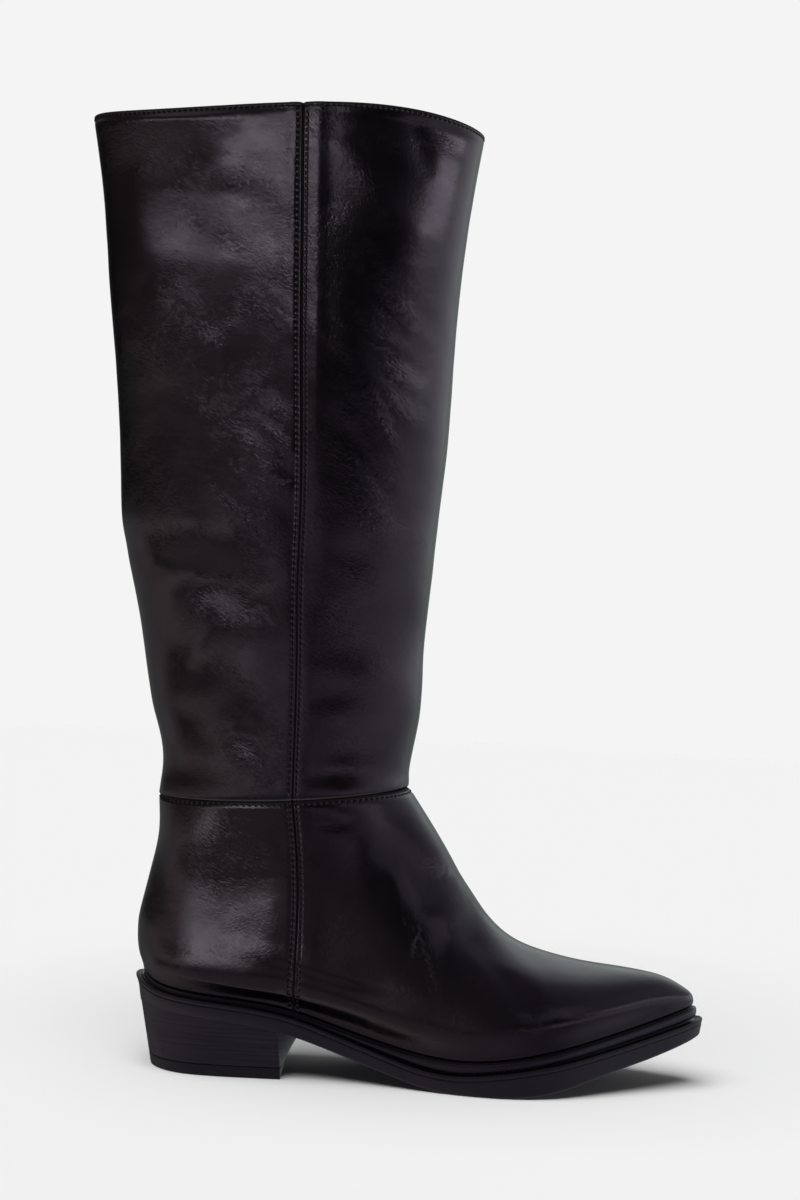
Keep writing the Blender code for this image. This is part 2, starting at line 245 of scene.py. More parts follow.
def surface(name, points, finishes, around=True, closed=False, slots=None, capped=False):
    """A mesh over a grid of points, rows first. around joins the last column to the first, closed the rows.

    slots gives each row of faces its finish. capped adds flat ends over the first and the last row.
    """
    rows, columns = points.shape[:2]
    index = np.arange(rows * columns).reshape(rows, columns)
    ends = [index[0, ::-1].tolist(), index[-1].tolist()] if capped else []
    if around:
        index = np.concatenate([index, index[:, :1]], axis=1)
    if closed:
        index = np.concatenate([index, index[:1]], axis=0)
    quads = np.stack([index[:-1, :-1], index[:-1, 1:], index[1:, 1:], index[1:, :-1]], axis=-1)
    mesh = bpy.data.meshes.new(name)
    mesh.from_pydata(into_scene(points.reshape(-1, 3)), [], quads.reshape(-1, 4).tolist() + ends)
    for finish in finishes:
        mesh.materials.append(finish)
    if slots is not None:
        mesh.polygons.foreach_set("material_index", np.repeat(slots, quads.shape[1]).astype(np.int32))
    mesh.shade_smooth()
    return placed(name, mesh)


class Reading:
    """A socket of a finish's nodes that can be added, multiplied and so on, which adds Math nodes."""

    def __init__(self, tree, socket=None):
        self.tree = tree
        self.socket = socket

    def node(self, kind, settings=(), inputs=(), output=0):
        """A node of a kind, with its settings, and the values or links of its sockets."""
        made = self.tree.nodes.new(kind)
        for name, value in dict(settings).items():
            if name == "stops":
                ramp = made.color_ramp
                for place in range(len(ramp.elements), len(value)):
                    ramp.elements.new(place / len(value))
                for stop, (position, shade) in zip(ramp.elements, value):
                    stop.position = position
                    stop.color = shade
            else:
                setattr(made, name, value)
        for key, value in dict(inputs).items():
            if isinstance(value, Reading):
                self.tree.links.new(value.socket, made.inputs[key])
            else:
                made.inputs[key].default_value = value
        return Reading(self.tree, made.outputs[output])

    def math(self, operation, *others):
        return self.node(
            "ShaderNodeMath", {"operation": operation}, dict(enumerate((self, *others)))
        )

    def __add__(self, other):
        return self.math("ADD", other)

    def __mul__(self, other):
        return self.math("MULTIPLY", other)

    def __sub__(self, other):
        return self.math("SUBTRACT", other)

    def __rsub__(self, other):
        return self.node("ShaderNodeMath", {"operation": "SUBTRACT"}, {0: other, 1: self})

    def __truediv__(self, other):
        return self.math("DIVIDE", other)

    __radd__ = __add__
    __rmul__ = __mul__

    def size(self):
        """The value without its sign."""
        return self.math("ABSOLUTE")

    def rise(self, low, high, bottom=0.0, top=1.0):
        """A smooth step from bottom to top as the value goes from low to high."""
        return self.node(
            "ShaderNodeMapRange", {"interpolation_type": "SMOOTHSTEP"},
            {"Value": self, "From Min": low, "From Max": high, "To Min": bottom, "To Max": top},
        )

    def noise(self, scale, detail=2.0, roughness=0.5):
        """Noise at this place in space, from 0 to 1."""
        return self.node(
            "ShaderNodeTexNoise", {},
            {"Vector": self, "Scale": scale, "Detail": detail, "Roughness": roughness},
        )

    def cells(self, scale):
        """How far this place in space lies from the lines between rounded cells."""
        return self.node(
            "ShaderNodeTexVoronoi", {"feature": "DISTANCE_TO_EDGE"},
            {"Vector": self, "Scale": scale, "Randomness": 1.0},
        )

    def mark(self, name, output=1):
        """A value stored on the piece's points: output 1 is three numbers and output 2 is one."""
        return self.node("ShaderNodeAttribute", {"attribute_name": name}, output=output)

    def parts(self, *axes):
        """Some of the three numbers of this place."""
        return [self.node("ShaderNodeSeparateXYZ", {}, {0: self}, output=axis) for axis in axes]

    def stretched(self, turn=(0.0, 0.0, 0.0), scale=(1.0, 1.0, 1.0)):
        """This place in space, turned and then drawn out along each axis by its scale."""
        return self.node(
            "ShaderNodeMapping", {"vector_type": "TEXTURE"},
            {"Vector": self, "Rotation": turn, "Scale": scale},
        )

    def warped(self, scale, amount):
        """This place in space, moved about by a noise."""
        noise = self.node("ShaderNodeTexNoise", {}, {"Vector": self, "Scale": scale}, output=1)
        middle = {0: noise, 1: (0.5, 0.5, 0.5)}
        about = self.node("ShaderNodeVectorMath", {"operation": "SUBTRACT"}, middle)
        moved = self.node("ShaderNodeVectorMath", {"operation": "SCALE"}, {0: about, "Scale": amount})
        return self.node("ShaderNodeVectorMath", {"operation": "ADD"}, {0: self, 1: moved})

    def blend(self, first, second):
        """A colour between two, by this value."""
        return self.node(
            "ShaderNodeMix", {"data_type": "RGBA"}, {0: self, 6: first, 7: second}, output=2
        )

    def relief(self, distance, strength=1.0, over=None):
        """The normal of this height, in metres at 1, laid over another relief."""
        inputs = {"Height": self, "Distance": distance, "Strength": strength}
        if over is not None:
            inputs["Normal"] = over
        return self.node("ShaderNodeBump", {}, inputs)


def finish_of(name, base, roughness, specular=0.5):
    """A Principled finish. Returns it, its shader, and the place in space that its patterns read."""
    made = bpy.data.materials.new(name)
    made.use_nodes = True
    shader = made.node_tree.nodes["Principled BSDF"]
    shader.inputs["Base Color"].default_value = base
    shader.inputs["Roughness"].default_value = roughness
    shader.inputs["Specular IOR Level"].default_value = specular
    place = Reading(made.node_tree).node("ShaderNodeTexCoord", output="Object")
    return made, shader, place


def times(colour, factor):
    """A colour brightened by a factor."""
    return tuple(c * factor for c in colour[:3]) + (1.0,)


def apply(shader, **what):
    """Links readings into the shader's sockets."""
    for socket, reading in what.items():
        reading.tree.links.new(reading.socket, shader.inputs[socket.replace("_", " ")])


def moulded_rubber(name, base, roughness):
    """Matt black rubber: a faint cloud in its gloss, a fine moulded grain, and a little dust."""
    made, shader, place = finish_of(name, base, roughness, specular=0.42)
    shader.inputs["Specular Tint"].default_value = RUBBER_SHEEN
    cloud = place.noise(38.0, 3.0)
    dust = place.noise(420.0, 4.0, 0.7).rise(0.62, 0.75)
    grain = place.noise(2600.0, 2.0)
    swirl = place.noise(300.0, 2.0)
    apply(
        shader,
        Base_Color=(dust * 0.5).blend(base, times(base, 2.2)),
        Roughness=cloud.rise(0.3, 0.7, roughness - 0.07, roughness + 0.08),
        Normal=grain.relief(0.00006, 0.5, over=swirl.relief(0.00012, 0.5)),
    )
    return made


def rounding(x):
    """How full the rounding of the sole's lower edge is at x."""
    return np.clip((x - ROUNDING_FROM) / ROUNDING_FADE, ROUNDING_LEAST, 1)


rubber = moulded_rubber("black_rubber_moulding", RUBBER_BLACK, 0.42)
TURN = np.arange(SOLE_AROUND) * 2 * math.pi / SOLE_AROUND
rim_x = sole_outline(TURN)[:, 0]
ledge, draft = side_line("ledge", rim_x), side_line("draft", rim_x)
side = []
for line, share, inwards, upwards in SOLE_SECTION:
    full = rounding(rim_x) if line == "edge" else 1.0
    ring = inset(TURN, draft * share + np.minimum(inwards * full, ledge + NECK_INSET))
    side.append(raised(ring, side_line(line, ring[:, 0]) + upwards * full))
neck = inset(TURN, ledge + NECK_INSET)
side.append(raised(neck, side_line("rim", neck[:, 0])))
for ring in (neck, inset(TURN, ledge + NECK_REACH)):
    side.append(raised(ring, side_line("feather", ring[:, 0]) - NECK_UNDER))
sole_side = surface("sole_side", np.array(side), [rubber])
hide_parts("outsole")

across = np.linspace(0, 1, TREAD_ACROSS)
plan, breadth = straight_across(
    TREAD_ROWS, TREAD_TIPS,
    lambda x: side_line("draft", x) + SOLE_SECTION[0][2] * rounding(x),
    across,
)
from_side = (0.5 - np.abs(across - 0.5)) * breadth
from_ends = np.minimum(plan[..., 0] - ENDS_CUT, SOLE_LENGTH - ENDS_CUT - plan[..., 0])
sunk = np.clip((np.minimum(from_side, from_ends) - TREAD_BORDER) / TREAD_SLOPE, 0, 1)
sunk = sunk * sunk * (3 - 2 * sunk)
rib = 0.5 + 0.5 * np.cos(2 * math.pi * plan[..., 0] / TREAD_PITCH)
rib = np.clip(rib * 2.2 - 0.6, 0, 1)
under = raised(plan, side_line("edge", plan[..., 0]) + TREAD_DEPTH * sunk * (1 - RIB_SHARE * rib))
tread = surface("tread", under[:, ::-1], [rubber], around=False)
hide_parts("outsole")
for piece in (sole_side, tread):
    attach(piece, "root")

# ----------------------------------------------------------------------------
# Bead: the rounded rib of the same moulding that lies in the corner between ledge and upper, like a welt.
# It is about half a millimetre high over the heel and over four round the forefoot.

# Along the sole: how far up the gap between ledge and upper its middle lies and half its height, as shares
# of the gap, and how far it stands out of the corner.
BEAD = {
    "x": (0, 70, 110, 150, 281),
    "middle": (0.3, 0.3, 0.42, 0.5, 0.5),
    "half": (0.12, 0.12, 0.3, 0.4, 0.4),
    "proud": (0.7, 0.7, 1.4, 1.7, 1.7),
}
BEAD_SIDES = 20
BEAD_SQUARENESS = 0.75

foot_edge = inset(TURN, ledge)
bead_floor = side_line("rim", rim_x)
bead_gap = side_line("feather", foot_edge[:, 0]) - bead_floor
bead_middle = bead_floor + bead_gap * np.interp(rim_x, BEAD["x"], BEAD["middle"])
bead_half = bead_gap * np.interp(rim_x, BEAD["x"], BEAD["half"])
bead_in, bead_out = ledge + NECK_INSET, ledge - np.interp(rim_x, BEAD["x"], BEAD["proud"])
bead_rings = []
for swing in -np.arange(BEAD_SIDES) * 2 * math.pi / BEAD_SIDES:
    reach = np.sign(math.cos(swing)) * abs(math.cos(swing)) ** BEAD_SQUARENESS
    rise = np.sign(math.sin(swing)) * abs(math.sin(swing)) ** BEAD_SQUARENESS
    ring = inset(TURN, (bead_in + bead_out) / 2 + (bead_in - bead_out) / 2 * reach)
    bead_rings.append(raised(ring, bead_middle + bead_half * rise))
polished = moulded_rubber("polished_black_rubber", RUBBER_BLACK, 0.24)
bead = surface("bead", np.array(bead_rings), [polished], closed=True)
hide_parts("welt")
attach(bead, "root")

# ----------------------------------------------------------------------------
# Insole: a padded sock of dark synthetic lining, glued down on the sole inside the upper. Its edge is
# rounded and its surface has the faint nap of brushed cloth.

INSOLE_IN = 4.2
INSOLE_OVER = 0.2
INSOLE_THICKNESS = 2.0
INSOLE_TIPS = 0.001
INSOLE_ROWS = 160
INSOLE_ACROSS = 24
LINING_BLACK = (0.035, 0.031, 0.032, 1.0)


def brushed_lining(name, base):
    """Dull synthetic lining: two crossed sets of fine threads under a soft nap."""
    made, shader, place = finish_of(name, base, 0.88, specular=0.25)
    nap = place.noise(900.0, 4.0, 0.7)
    threads = place.stretched(scale=(1.0, 1.0, 7.0)).noise(3200.0, 1.0)
    patch = place.noise(30.0, 3.0)
    apply(
        shader,
        Base_Color=patch.rise(0.3, 0.7).blend(base, times(base, 1.5)),
        Normal=nap.relief(0.00015, 0.6, over=threads.relief(0.0001, 0.5)),
    )
    return made


lining = brushed_lining("sock_lining", LINING_BLACK)
share = 0.5 - 0.5 * np.cos(np.linspace(0, math.pi, INSOLE_ACROSS))
plan = straight_across(
    INSOLE_ROWS, INSOLE_TIPS, lambda x: side_line("ledge", x) + INSOLE_IN, share
)[0]
crown = np.clip(16 * share * (1 - share), 0, 1) ** 0.5
bed = raised(plan, side_line("feather", plan[..., 0]) + INSOLE_OVER + INSOLE_THICKNESS * crown)
insole = surface("insole_sock", bed, [lining], around=False)
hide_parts("insole")
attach(insole, "root")

# ----------------------------------------------------------------------------
# Foot: the vamp and the counter, two pieces of leather-look lasted over the sole and joined by an open seam
# down each side. Its wall is the leather with its lining, and its foot is drawn in under, onto the sole.

WALL = 2.0
FOOT_COLUMNS = ("name", "back_x", "back_z", "front_x", "front_z", "back_radius", "nose_radius", "dip")
FOOT_RINGS = (
    ("wall", 1.2, 56.5, 269.6, 48.2, 24.0, 7.0, 0.85),
    ("toe_top", 0.1, 64.5, 256.0, 54.2, 24.0, 9.0, 0.70),
    ("low_vamp", 0.1, 71.5, 230.0, 57.2, 23.5, 11.0, 0.56),
    ("high_vamp", 1.2, 78.5, 205.5, 60.9, 23.0, 14.0, 0.44),
    ("throat", 2.8, 86.5, 185.5, 67.8, 22.5, 17.0, 0.33),
    ("instep", 5.0, 97.5, 168.6, 82.4, 22.5, 17.0, 0.20),
    ("bend", 7.8, 114.0, 150.2, 110.0, 24.0, 23.0, 0.07),
)
FOOT_STATIONS = (15, 40, 70, 100, 125, 145, 165, 185, 205, 225, 245)
FOOT_BREADTHS = {
    "wall": (25.0, 31.7, 33.0, 33.6, 36.4, 40.2, 44.7, 46.3, 43.0, 34.8, 22.9),
    "toe_top": (25.1, 32.0, 34.1, 35.2, 37.8, 40.7, 43.4, 43.4, 38.4, 28.6, 15.0),
    "low_vamp": (24.7, 31.8, 34.7, 35.8, 38.0, 40.0, 40.5, 38.0, 29.4),
    "high_vamp": (24.2, 31.7, 34.9, 35.8, 37.4, 38.2, 36.4, 29.4),
    "throat": (23.4, 31.9, 35.2, 35.6, 36.4, 35.2, 29.2),
    "instep": (22.3, 32.2, 35.6, 35.9, 34.6, 29.6),
    "bend": (21.2, 34.2, 38.0, 36.6, 29.2),
}
# How the foot starts on the sole: how far in from the feather line and how far over it.
FOOT_START = ((1.7, -0.1), (0.9, 0.1), (0.25, 0.7), (0.0, 2.0))
LEG_COLUMNS = ("back_x", "back_z", "front_x", "front_z", "half_depth", "back_radius", "front_radius")
LEG_RINGS = (
    (7.0, 131.8, 129.3, 141.0, 41.0, 27.0, 27.0),
    (7.9, 151.0, 129.2, 152.5, 41.5, 27.0, 26.0),
    (2.0, 175.0, 132.4, 175.0, 42.0, 27.0, 25.0),
    (-4.9, 210.0, 133.3, 210.0, 43.0, 27.0, 24.0),
    (-11.8, 240.0, 135.6, 240.0, 44.0, 27.0, 23.5),
    (-17.4, 266.0, 137.5, 266.0, 45.0, 27.0, 23.0),
    (-20.3, 300.0, 139.4, 300.0, 45.5, 26.0, 22.0),
    (-25.9, 350.0, 141.2, 350.0, 45.5, 25.0, 21.0),
    (-32.0, 400.0, 144.2, 400.0, 45.0, 23.5, 20.5),
    (-37.6, 440.0, 148.2, 440.0, 44.0, 22.5, 20.0),
    (-41.1, 462.0, 151.3, 462.0, 43.0, 21.5, 19.5),
)
ANKLE_DIP = 2.0
# Where the side seams run: their x at heights up the boot.
SIDE_SEAM = {
    "z": (25, 84, 106, 134, 183, 245, 283, 333, 400, 464),
    "x": (79.2, 79.2, 78.1, 74.4, 73.8, 71.8, 71.9, 68.9, 66.2, 63.5),
}
SEAM_SPREAD = (0.0, 0.35, 0.7, 1.1, 1.5, 1.9, 2.3, 2.8, 3.4, 4.1, 4.9, 5.8, 6.9)
SEAM_GROOVE = 1.7
SEAM_GROOVE_HALF = 0.48
SEAM_VALLEY = 0.4
SEAM_VALLEY_HALF = 1.9
SEAM_RIB = 0.5
SEAM_RIB_OUT = 7.2
SEAM_RIB_HALF = 3.6
SEAM_REAR_SHARE = 0.62
SEAM_PINCH = 0.2
STITCH_ROW = 2.0
STITCH_PITCH = 2.9
ANKLE_ROW = 1.9
ANKLE_PITCH = 3.0
PINCH_HALF = 0.5
EDGE_PINCH = 0.35
ANKLE_PINCH_HALF = 0.8
FOOT_TUCK = 0.9
FOOT_TUCK_HALF = 0.9
FOOT_CREASING = 0.7
# How slack the foot's side seam is, and the height at which its start on the sole meets it.
FOOT_SEAM_SLACK = 0.4
FOOT_SEAM_LEVEL = 33.0
SWELL_WAVES = 24
# The unevenness of the foot: height, size and seed of each layer.
FOOT_SWELLS = ((0.3, 42.0, 3),)
# Folds fade in between these lengths up from the sole, and the seam over the first of them.
OFF_SOLE = (3.0, 11.0)
FOOT_ROUNDS = (0.4, 0.2)
FOOT_INSIDE_EVERY = 5
ROLL_STEPS = 7
FAR_AWAY = 50.0
FOOT_AROUND = 300
FOOT_LENGTH_ROUND = 520.0
FOOT_ROWS = 150
LEATHER_BLACK = (0.0018, 0.0012, 0.0019, 1.0)
LEATHER_SHEEN = (0.97, 0.78, 1.0, 1.0)
# Near black painted into the seam groove, the needle holes and the leather's edges at the ankle seam and
# the collar, as painted shade.
PAINTED_SEAM_SHADE = (0.0005, 0.0005, 0.0005, 1.0)

# Creases and soft swells by side. Each row is a fold: x and z of one end, x and z of the other, its half
# width, and its height, which is negative for a trough. Folds narrower than CREASE_MOST gather wrinkles,
# and CREASE_APART keeps the wrinkles of one from being those of the next. FOLD_FADE is how far from the
# middle line a side's folds fade out.
CREASE_MOST = 5.0
CREASE_APART = 9.0
FOLD_FADE = 10.0
FOOT_FOLDS = {
    "outer": (
        (18, 52, 74, 46, 22.0, 2.4),
        (68, 98, 71, 66, 14.0, 1.3),
        (126, 112, 130, 94, 7.0, 0.7),
        (133, 124, 154, 97, 5.5, 1.0),
        (126, 114, 143, 92, 6.0, -0.6),
        (146, 81, 160, 88, 8.0, 1.4),
        (150, 100, 160, 97, 6.0, -0.5),
        (150, 72, 168, 72, 6.5, -0.6),
        (163, 71, 192, 42, 5.0, -0.9),
        (172, 74, 204, 43, 5.0, 0.5),
        (131, 84, 146, 44, 3.0, -0.16),
        (137, 84, 152, 46, 3.4, 0.14),
        (160, 64, 182, 32, 3.0, -0.2),
        (205, 46, 226, 33, 2.4, -0.1),
        (84, 124, 102, 125, 3.4, -0.35),
        (130, 120, 145, 95, 4.5, 0.25),
        (133, 88, 136, 62, 3.0, 0.12),
        (168, 77, 176, 63, 4.0, 0.20),
        (47, 57, 74, 65, 4.0, 0.10),
        (40, 70, 67, 85, 4.0, 0.12),
    ),
    "inner": (
        (30, 86, 66, 72, 15.0, 1.0),
        (128, 118, 150, 94, 4.0, 0.6),
        (160, 68, 190, 40, 4.5, -0.8),
        (170, 72, 200, 42, 5.0, 0.5),
        (150, 82, 168, 72, 4.0, -0.5),
    ),
}


def seam_turn(share, back, front, height):
    """The turn at each share of the way round, such that the quarter shares fall on the side seams."""
    seam_x = np.interp(height, SIDE_SEAM["z"], SIDE_SEAM["x"])
    shift = math.acos((seam_x - (back + front) / 2) * 2 / (front - back)) - math.pi / 2
    return 2 * math.pi * share + shift * np.sin(2 * math.pi * share)


def leg_ring(share, row):
    """A level of the leg: an oval whose height climbs evenly from back to front."""
    size = dict(zip(LEG_COLUMNS, row))
    back, front = size["back_x"], size["front_x"]
    turn = seam_turn(share, back, front, (size["back_z"] + size["front_z"]) / 2)
    x, half = oval(
        turn, back, front, [(back + front) / 2], [size["half_depth"]],
        size["back_radius"], size["front_radius"],
    )
    climb = (size["front_z"] - size["back_z"]) * (1 + np.cos(turn)) / 2
    return np.stack([x, half, size["back_z"] + climb], axis=-1), turn


def ankle_ring(share):
    """The level where foot and leg are sewn together, which sags at the sides."""
    ring, turn = leg_ring(share, LEG_RINGS[0])
    ring[:, 2] -= ANKLE_DIP * np.sin(turn) ** 2
    return ring


def foot_ring(share, number):
    """A level of the foot: an oval with the sole's dip at its sides and the bend of its middle line."""
    size = dict(zip(FOOT_COLUMNS, FOOT_RINGS[number]))
    back, front = size["back_x"], size["front_x"]
    turn = seam_turn(share, back, front, (size["back_z"] + size["front_z"]) / 2 - 10 * size["dip"])
    halves = FOOT_BREADTHS[size["name"]]
    x, half = oval(
        turn, back, front, FOOT_STATIONS[: len(halves)], halves,
        size["back_radius"], size["nose_radius"],
    )
    along = (1 + np.cos(turn)) / 2
    heel, toe = side_line("feather", 0.0), side_line("feather", SOLE_LENGTH)
    dip = side_line("feather", SOLE_LENGTH * along) - (heel + (toe - heel) * along)
    climb = (size["front_z"] - size["back_z"]) * along
    bend = middle(x) * (1 - (number + 1) / (len(FOOT_RINGS) + 1))
    return np.stack([x, half + bend, size["back_z"] + climb + size["dip"] * dip], axis=-1)


def foot_levels(share):
    """The foot's levels from the sole to the ankle seam."""
    turn = seam_turn(share, 0.0, SOLE_LENGTH, FOOT_SEAM_LEVEL)
    levels = []
    for inwards, upwards in FOOT_START:
        ring = inset(turn, side_line("ledge", sole_outline(turn)[:, 0]) + inwards)
        levels.append(raised(ring, side_line("feather", ring[:, 0]) + upwards))
    levels += [foot_ring(share, number) for number in range(len(FOOT_RINGS))]
    return np.array(levels + [ankle_ring(share)])


def shares_round(count, length):
    """Shares of the way round from the inner seam, even, with closer ones beside both seams."""
    spread = np.array(SEAM_SPREAD) / length
    beside = np.r_[-spread[:0:-1], spread]
    even = np.linspace(0.25, 1.25, count, endpoint=False)
    for seam in (0.25, 0.75, 1.25):
        even = even[np.abs(even - seam) > spread[-1] * 1.15]
    half = len(spread) - 1
    return np.sort(np.r_[even, 0.25 + beside[half:], 0.75 + beside, 1.25 + beside[:half]])


def through_levels(levels, count):
    """A grid through levels, evenly spaced by the mean distance from one level to the next."""
    step = np.linalg.norm(np.diff(levels, axis=0), axis=-1).mean(axis=1)
    at = np.r_[0.0, np.cumsum(step)]
    return flowing(at, levels, np.linspace(0, at[-1], count))


def outward(grid):
    """The unit normals of a grid that closes on itself across its columns."""
    along = np.roll(grid, -1, axis=1) - np.roll(grid, 1, axis=1)
    up = np.gradient(grid, axis=0)
    normal = np.cross(along, up)
    return normal / np.linalg.norm(normal, axis=-1, keepdims=True)


def from_seams(grid, share):
    """For each point its distance to the nearer side seam, negative behind it, and its length up."""
    step = np.linalg.norm(np.diff(grid, axis=1), axis=-1)
    gone = np.concatenate([np.zeros((len(grid), 1)), np.cumsum(step, axis=1)], axis=1)
    whole = gone[:, -1:] + np.linalg.norm(grid[:, :1] - grid[:, -1:], axis=-1)
    outer = gone - gone[:, np.argmin(np.abs(share - 0.75))][:, None]
    inner = (gone + whole / 2) % whole - whole / 2
    nearer = np.where(np.abs(outer) < np.abs(inner), outer, -inner)
    climb = np.linalg.norm(np.diff(grid[:, np.argmin(np.abs(share - 0.75))], axis=0), axis=-1)
    return nearer, np.broadcast_to(np.r_[0.0, np.cumsum(climb)][:, None], nearer.shape)


def bell(distance, width):
    """A bell curve that is 1 in the middle and about a third of that at its width."""
    return np.exp(-((distance / width) ** 2))


def swell(grid, size, seed):
    """Soft unevenness of a given size: a sum of sine waves in fixed directions, mostly from -1 to 1."""
    draw = np.random.default_rng(seed)
    total = np.zeros(grid.shape[:2])
    for _ in range(SWELL_WAVES):
        wave = draw.normal(size=3)
        wave *= 2 * math.pi / (size * draw.uniform(0.8, 1.8) * np.linalg.norm(wave))
        total += np.sin(grid @ wave + draw.uniform(0, 2 * math.pi))
    return total / math.sqrt(SWELL_WAVES)


def folded(grid, folds, swells):
    """The height that folds and swells give each point, how creased it is, and its place on a crease.

    Each fold is a bell curve over the distance from a straight line between its two ends, on one side.
    """
    rows = [(side, *fold) for side in ("outer", "inner") for fold in folds[side]]
    height = np.zeros(grid.shape[:2])
    creased = np.zeros(grid.shape[:2])
    crease_run = np.zeros(grid.shape)
    for number, (side, x1, z1, x2, z2, half_width, tall) in enumerate(rows):
        run = np.array([x2 - x1, z2 - z1], float)
        away = grid[..., (0, 2)] - (x1, z1)
        part = np.clip(away @ run / (run @ run), 0, 1)
        distance = np.linalg.norm(away - part[..., None] * run, axis=-1)
        facing = 0.5 + 0.5 * np.tanh(grid[..., 1] / FOLD_FADE * (1 if side == "inner" else -1))
        taper = 0.55 + 0.45 * np.sin(math.pi * part)
        height += tall * taper * facing * bell(distance, half_width)
        if half_width < CREASE_MOST:
            near = facing * bell(distance, half_width * 1.1) * (0.1 + 0.9 * np.sin(math.pi * part))
            along = away @ run / np.linalg.norm(run)
            across = away @ (run[::-1] * (1, -1)) / np.linalg.norm(run)
            here = np.stack([across, along, np.full_like(along, CREASE_APART * number)], axis=-1)
            crease_run = np.where((near > creased)[..., None], here, crease_run)
            creased = np.maximum(creased, near)
    for tall, size, seed in swells:
        height += tall * swell(grid, size, seed)
    return height, creased, crease_run


def seam_height(distance, slack):
    """The section of an open seam at a distance from its line.

    It is a narrow groove in a shallow valley, between two ribs where the allowance lies folded back inside,
    with a pinch along each row of stitches. Where it is less slack it lies flatter.
    """
    groove = SEAM_GROOVE * bell(distance, SEAM_GROOVE_HALF * (0.4 + 0.6 * slack))
    valley = SEAM_VALLEY * slack * bell(distance, SEAM_VALLEY_HALF)
    narrower = np.where(distance > 0, 1.0, SEAM_REAR_SHARE)
    beyond = np.abs(distance) / narrower - SEAM_RIB_OUT
    ribs = SEAM_RIB * slack * narrower * bell(beyond, SEAM_RIB_HALF)
    pinch = SEAM_PINCH * bell(np.abs(distance) - STITCH_ROW, PINCH_HALF)
    return ribs - groove - valley - pinch


def walled(grid, inner_every, top_round, bottom_round):
    """A closed wall: the grid, its rolled top edge, its inside read every few rows, and its lower edge.

    An edge is half a circle from the outside to the inside, which lies a wall's thickness in along the
    normals. Returns the rows and how many of them are leather.
    """
    normal = outward(grid)
    rolls = []
    for at, towards in ((-1, 1), (0, -1)):
        up = grid[-1] - grid[-2] if at == -1 else grid[1] - grid[0]
        up = towards * up / np.linalg.norm(up, axis=-1, keepdims=True)
        rise = top_round if at == -1 else bottom_round
        steps = np.linspace(0, math.pi, ROLL_STEPS + 1)[1:]
        rolls.append([
            grid[at] - normal[at] * WALL / 2 * (1 - math.cos(step)) + up * rise * math.sin(step)
            for step in steps
        ])
    top, bottom = rolls
    inside = (grid - normal * WALL)[-1 - inner_every : 0 : -inner_every]
    rows = np.concatenate([grid, top, inside, bottom[::-1]])
    return rows, len(grid) + len(top)


def sewn_marks(piece, rows, marks):
    """Stores values on the piece's points: each is a grid of one number or of three.

    The rolled edge has those of the top row. The lining isn't creased, and lies far away from any seam.
    """
    for name, values in marks.items():
        kind, field = ("FLOAT", "value") if values.ndim == 2 else ("FLOAT_VECTOR", "vector")
        full = np.zeros((rows,) + values.shape[1:])
        full[: len(values)] = values
        full[len(values) : len(values) + ROLL_STEPS] = values[-1]
        full[len(values) + ROLL_STEPS :] = 0.0 if values.ndim == 2 else FAR_AWAY
        layer = piece.data.attributes.new(name, kind, "POINT")
        layer.data.foreach_set(field, full.ravel().astype(np.float32))


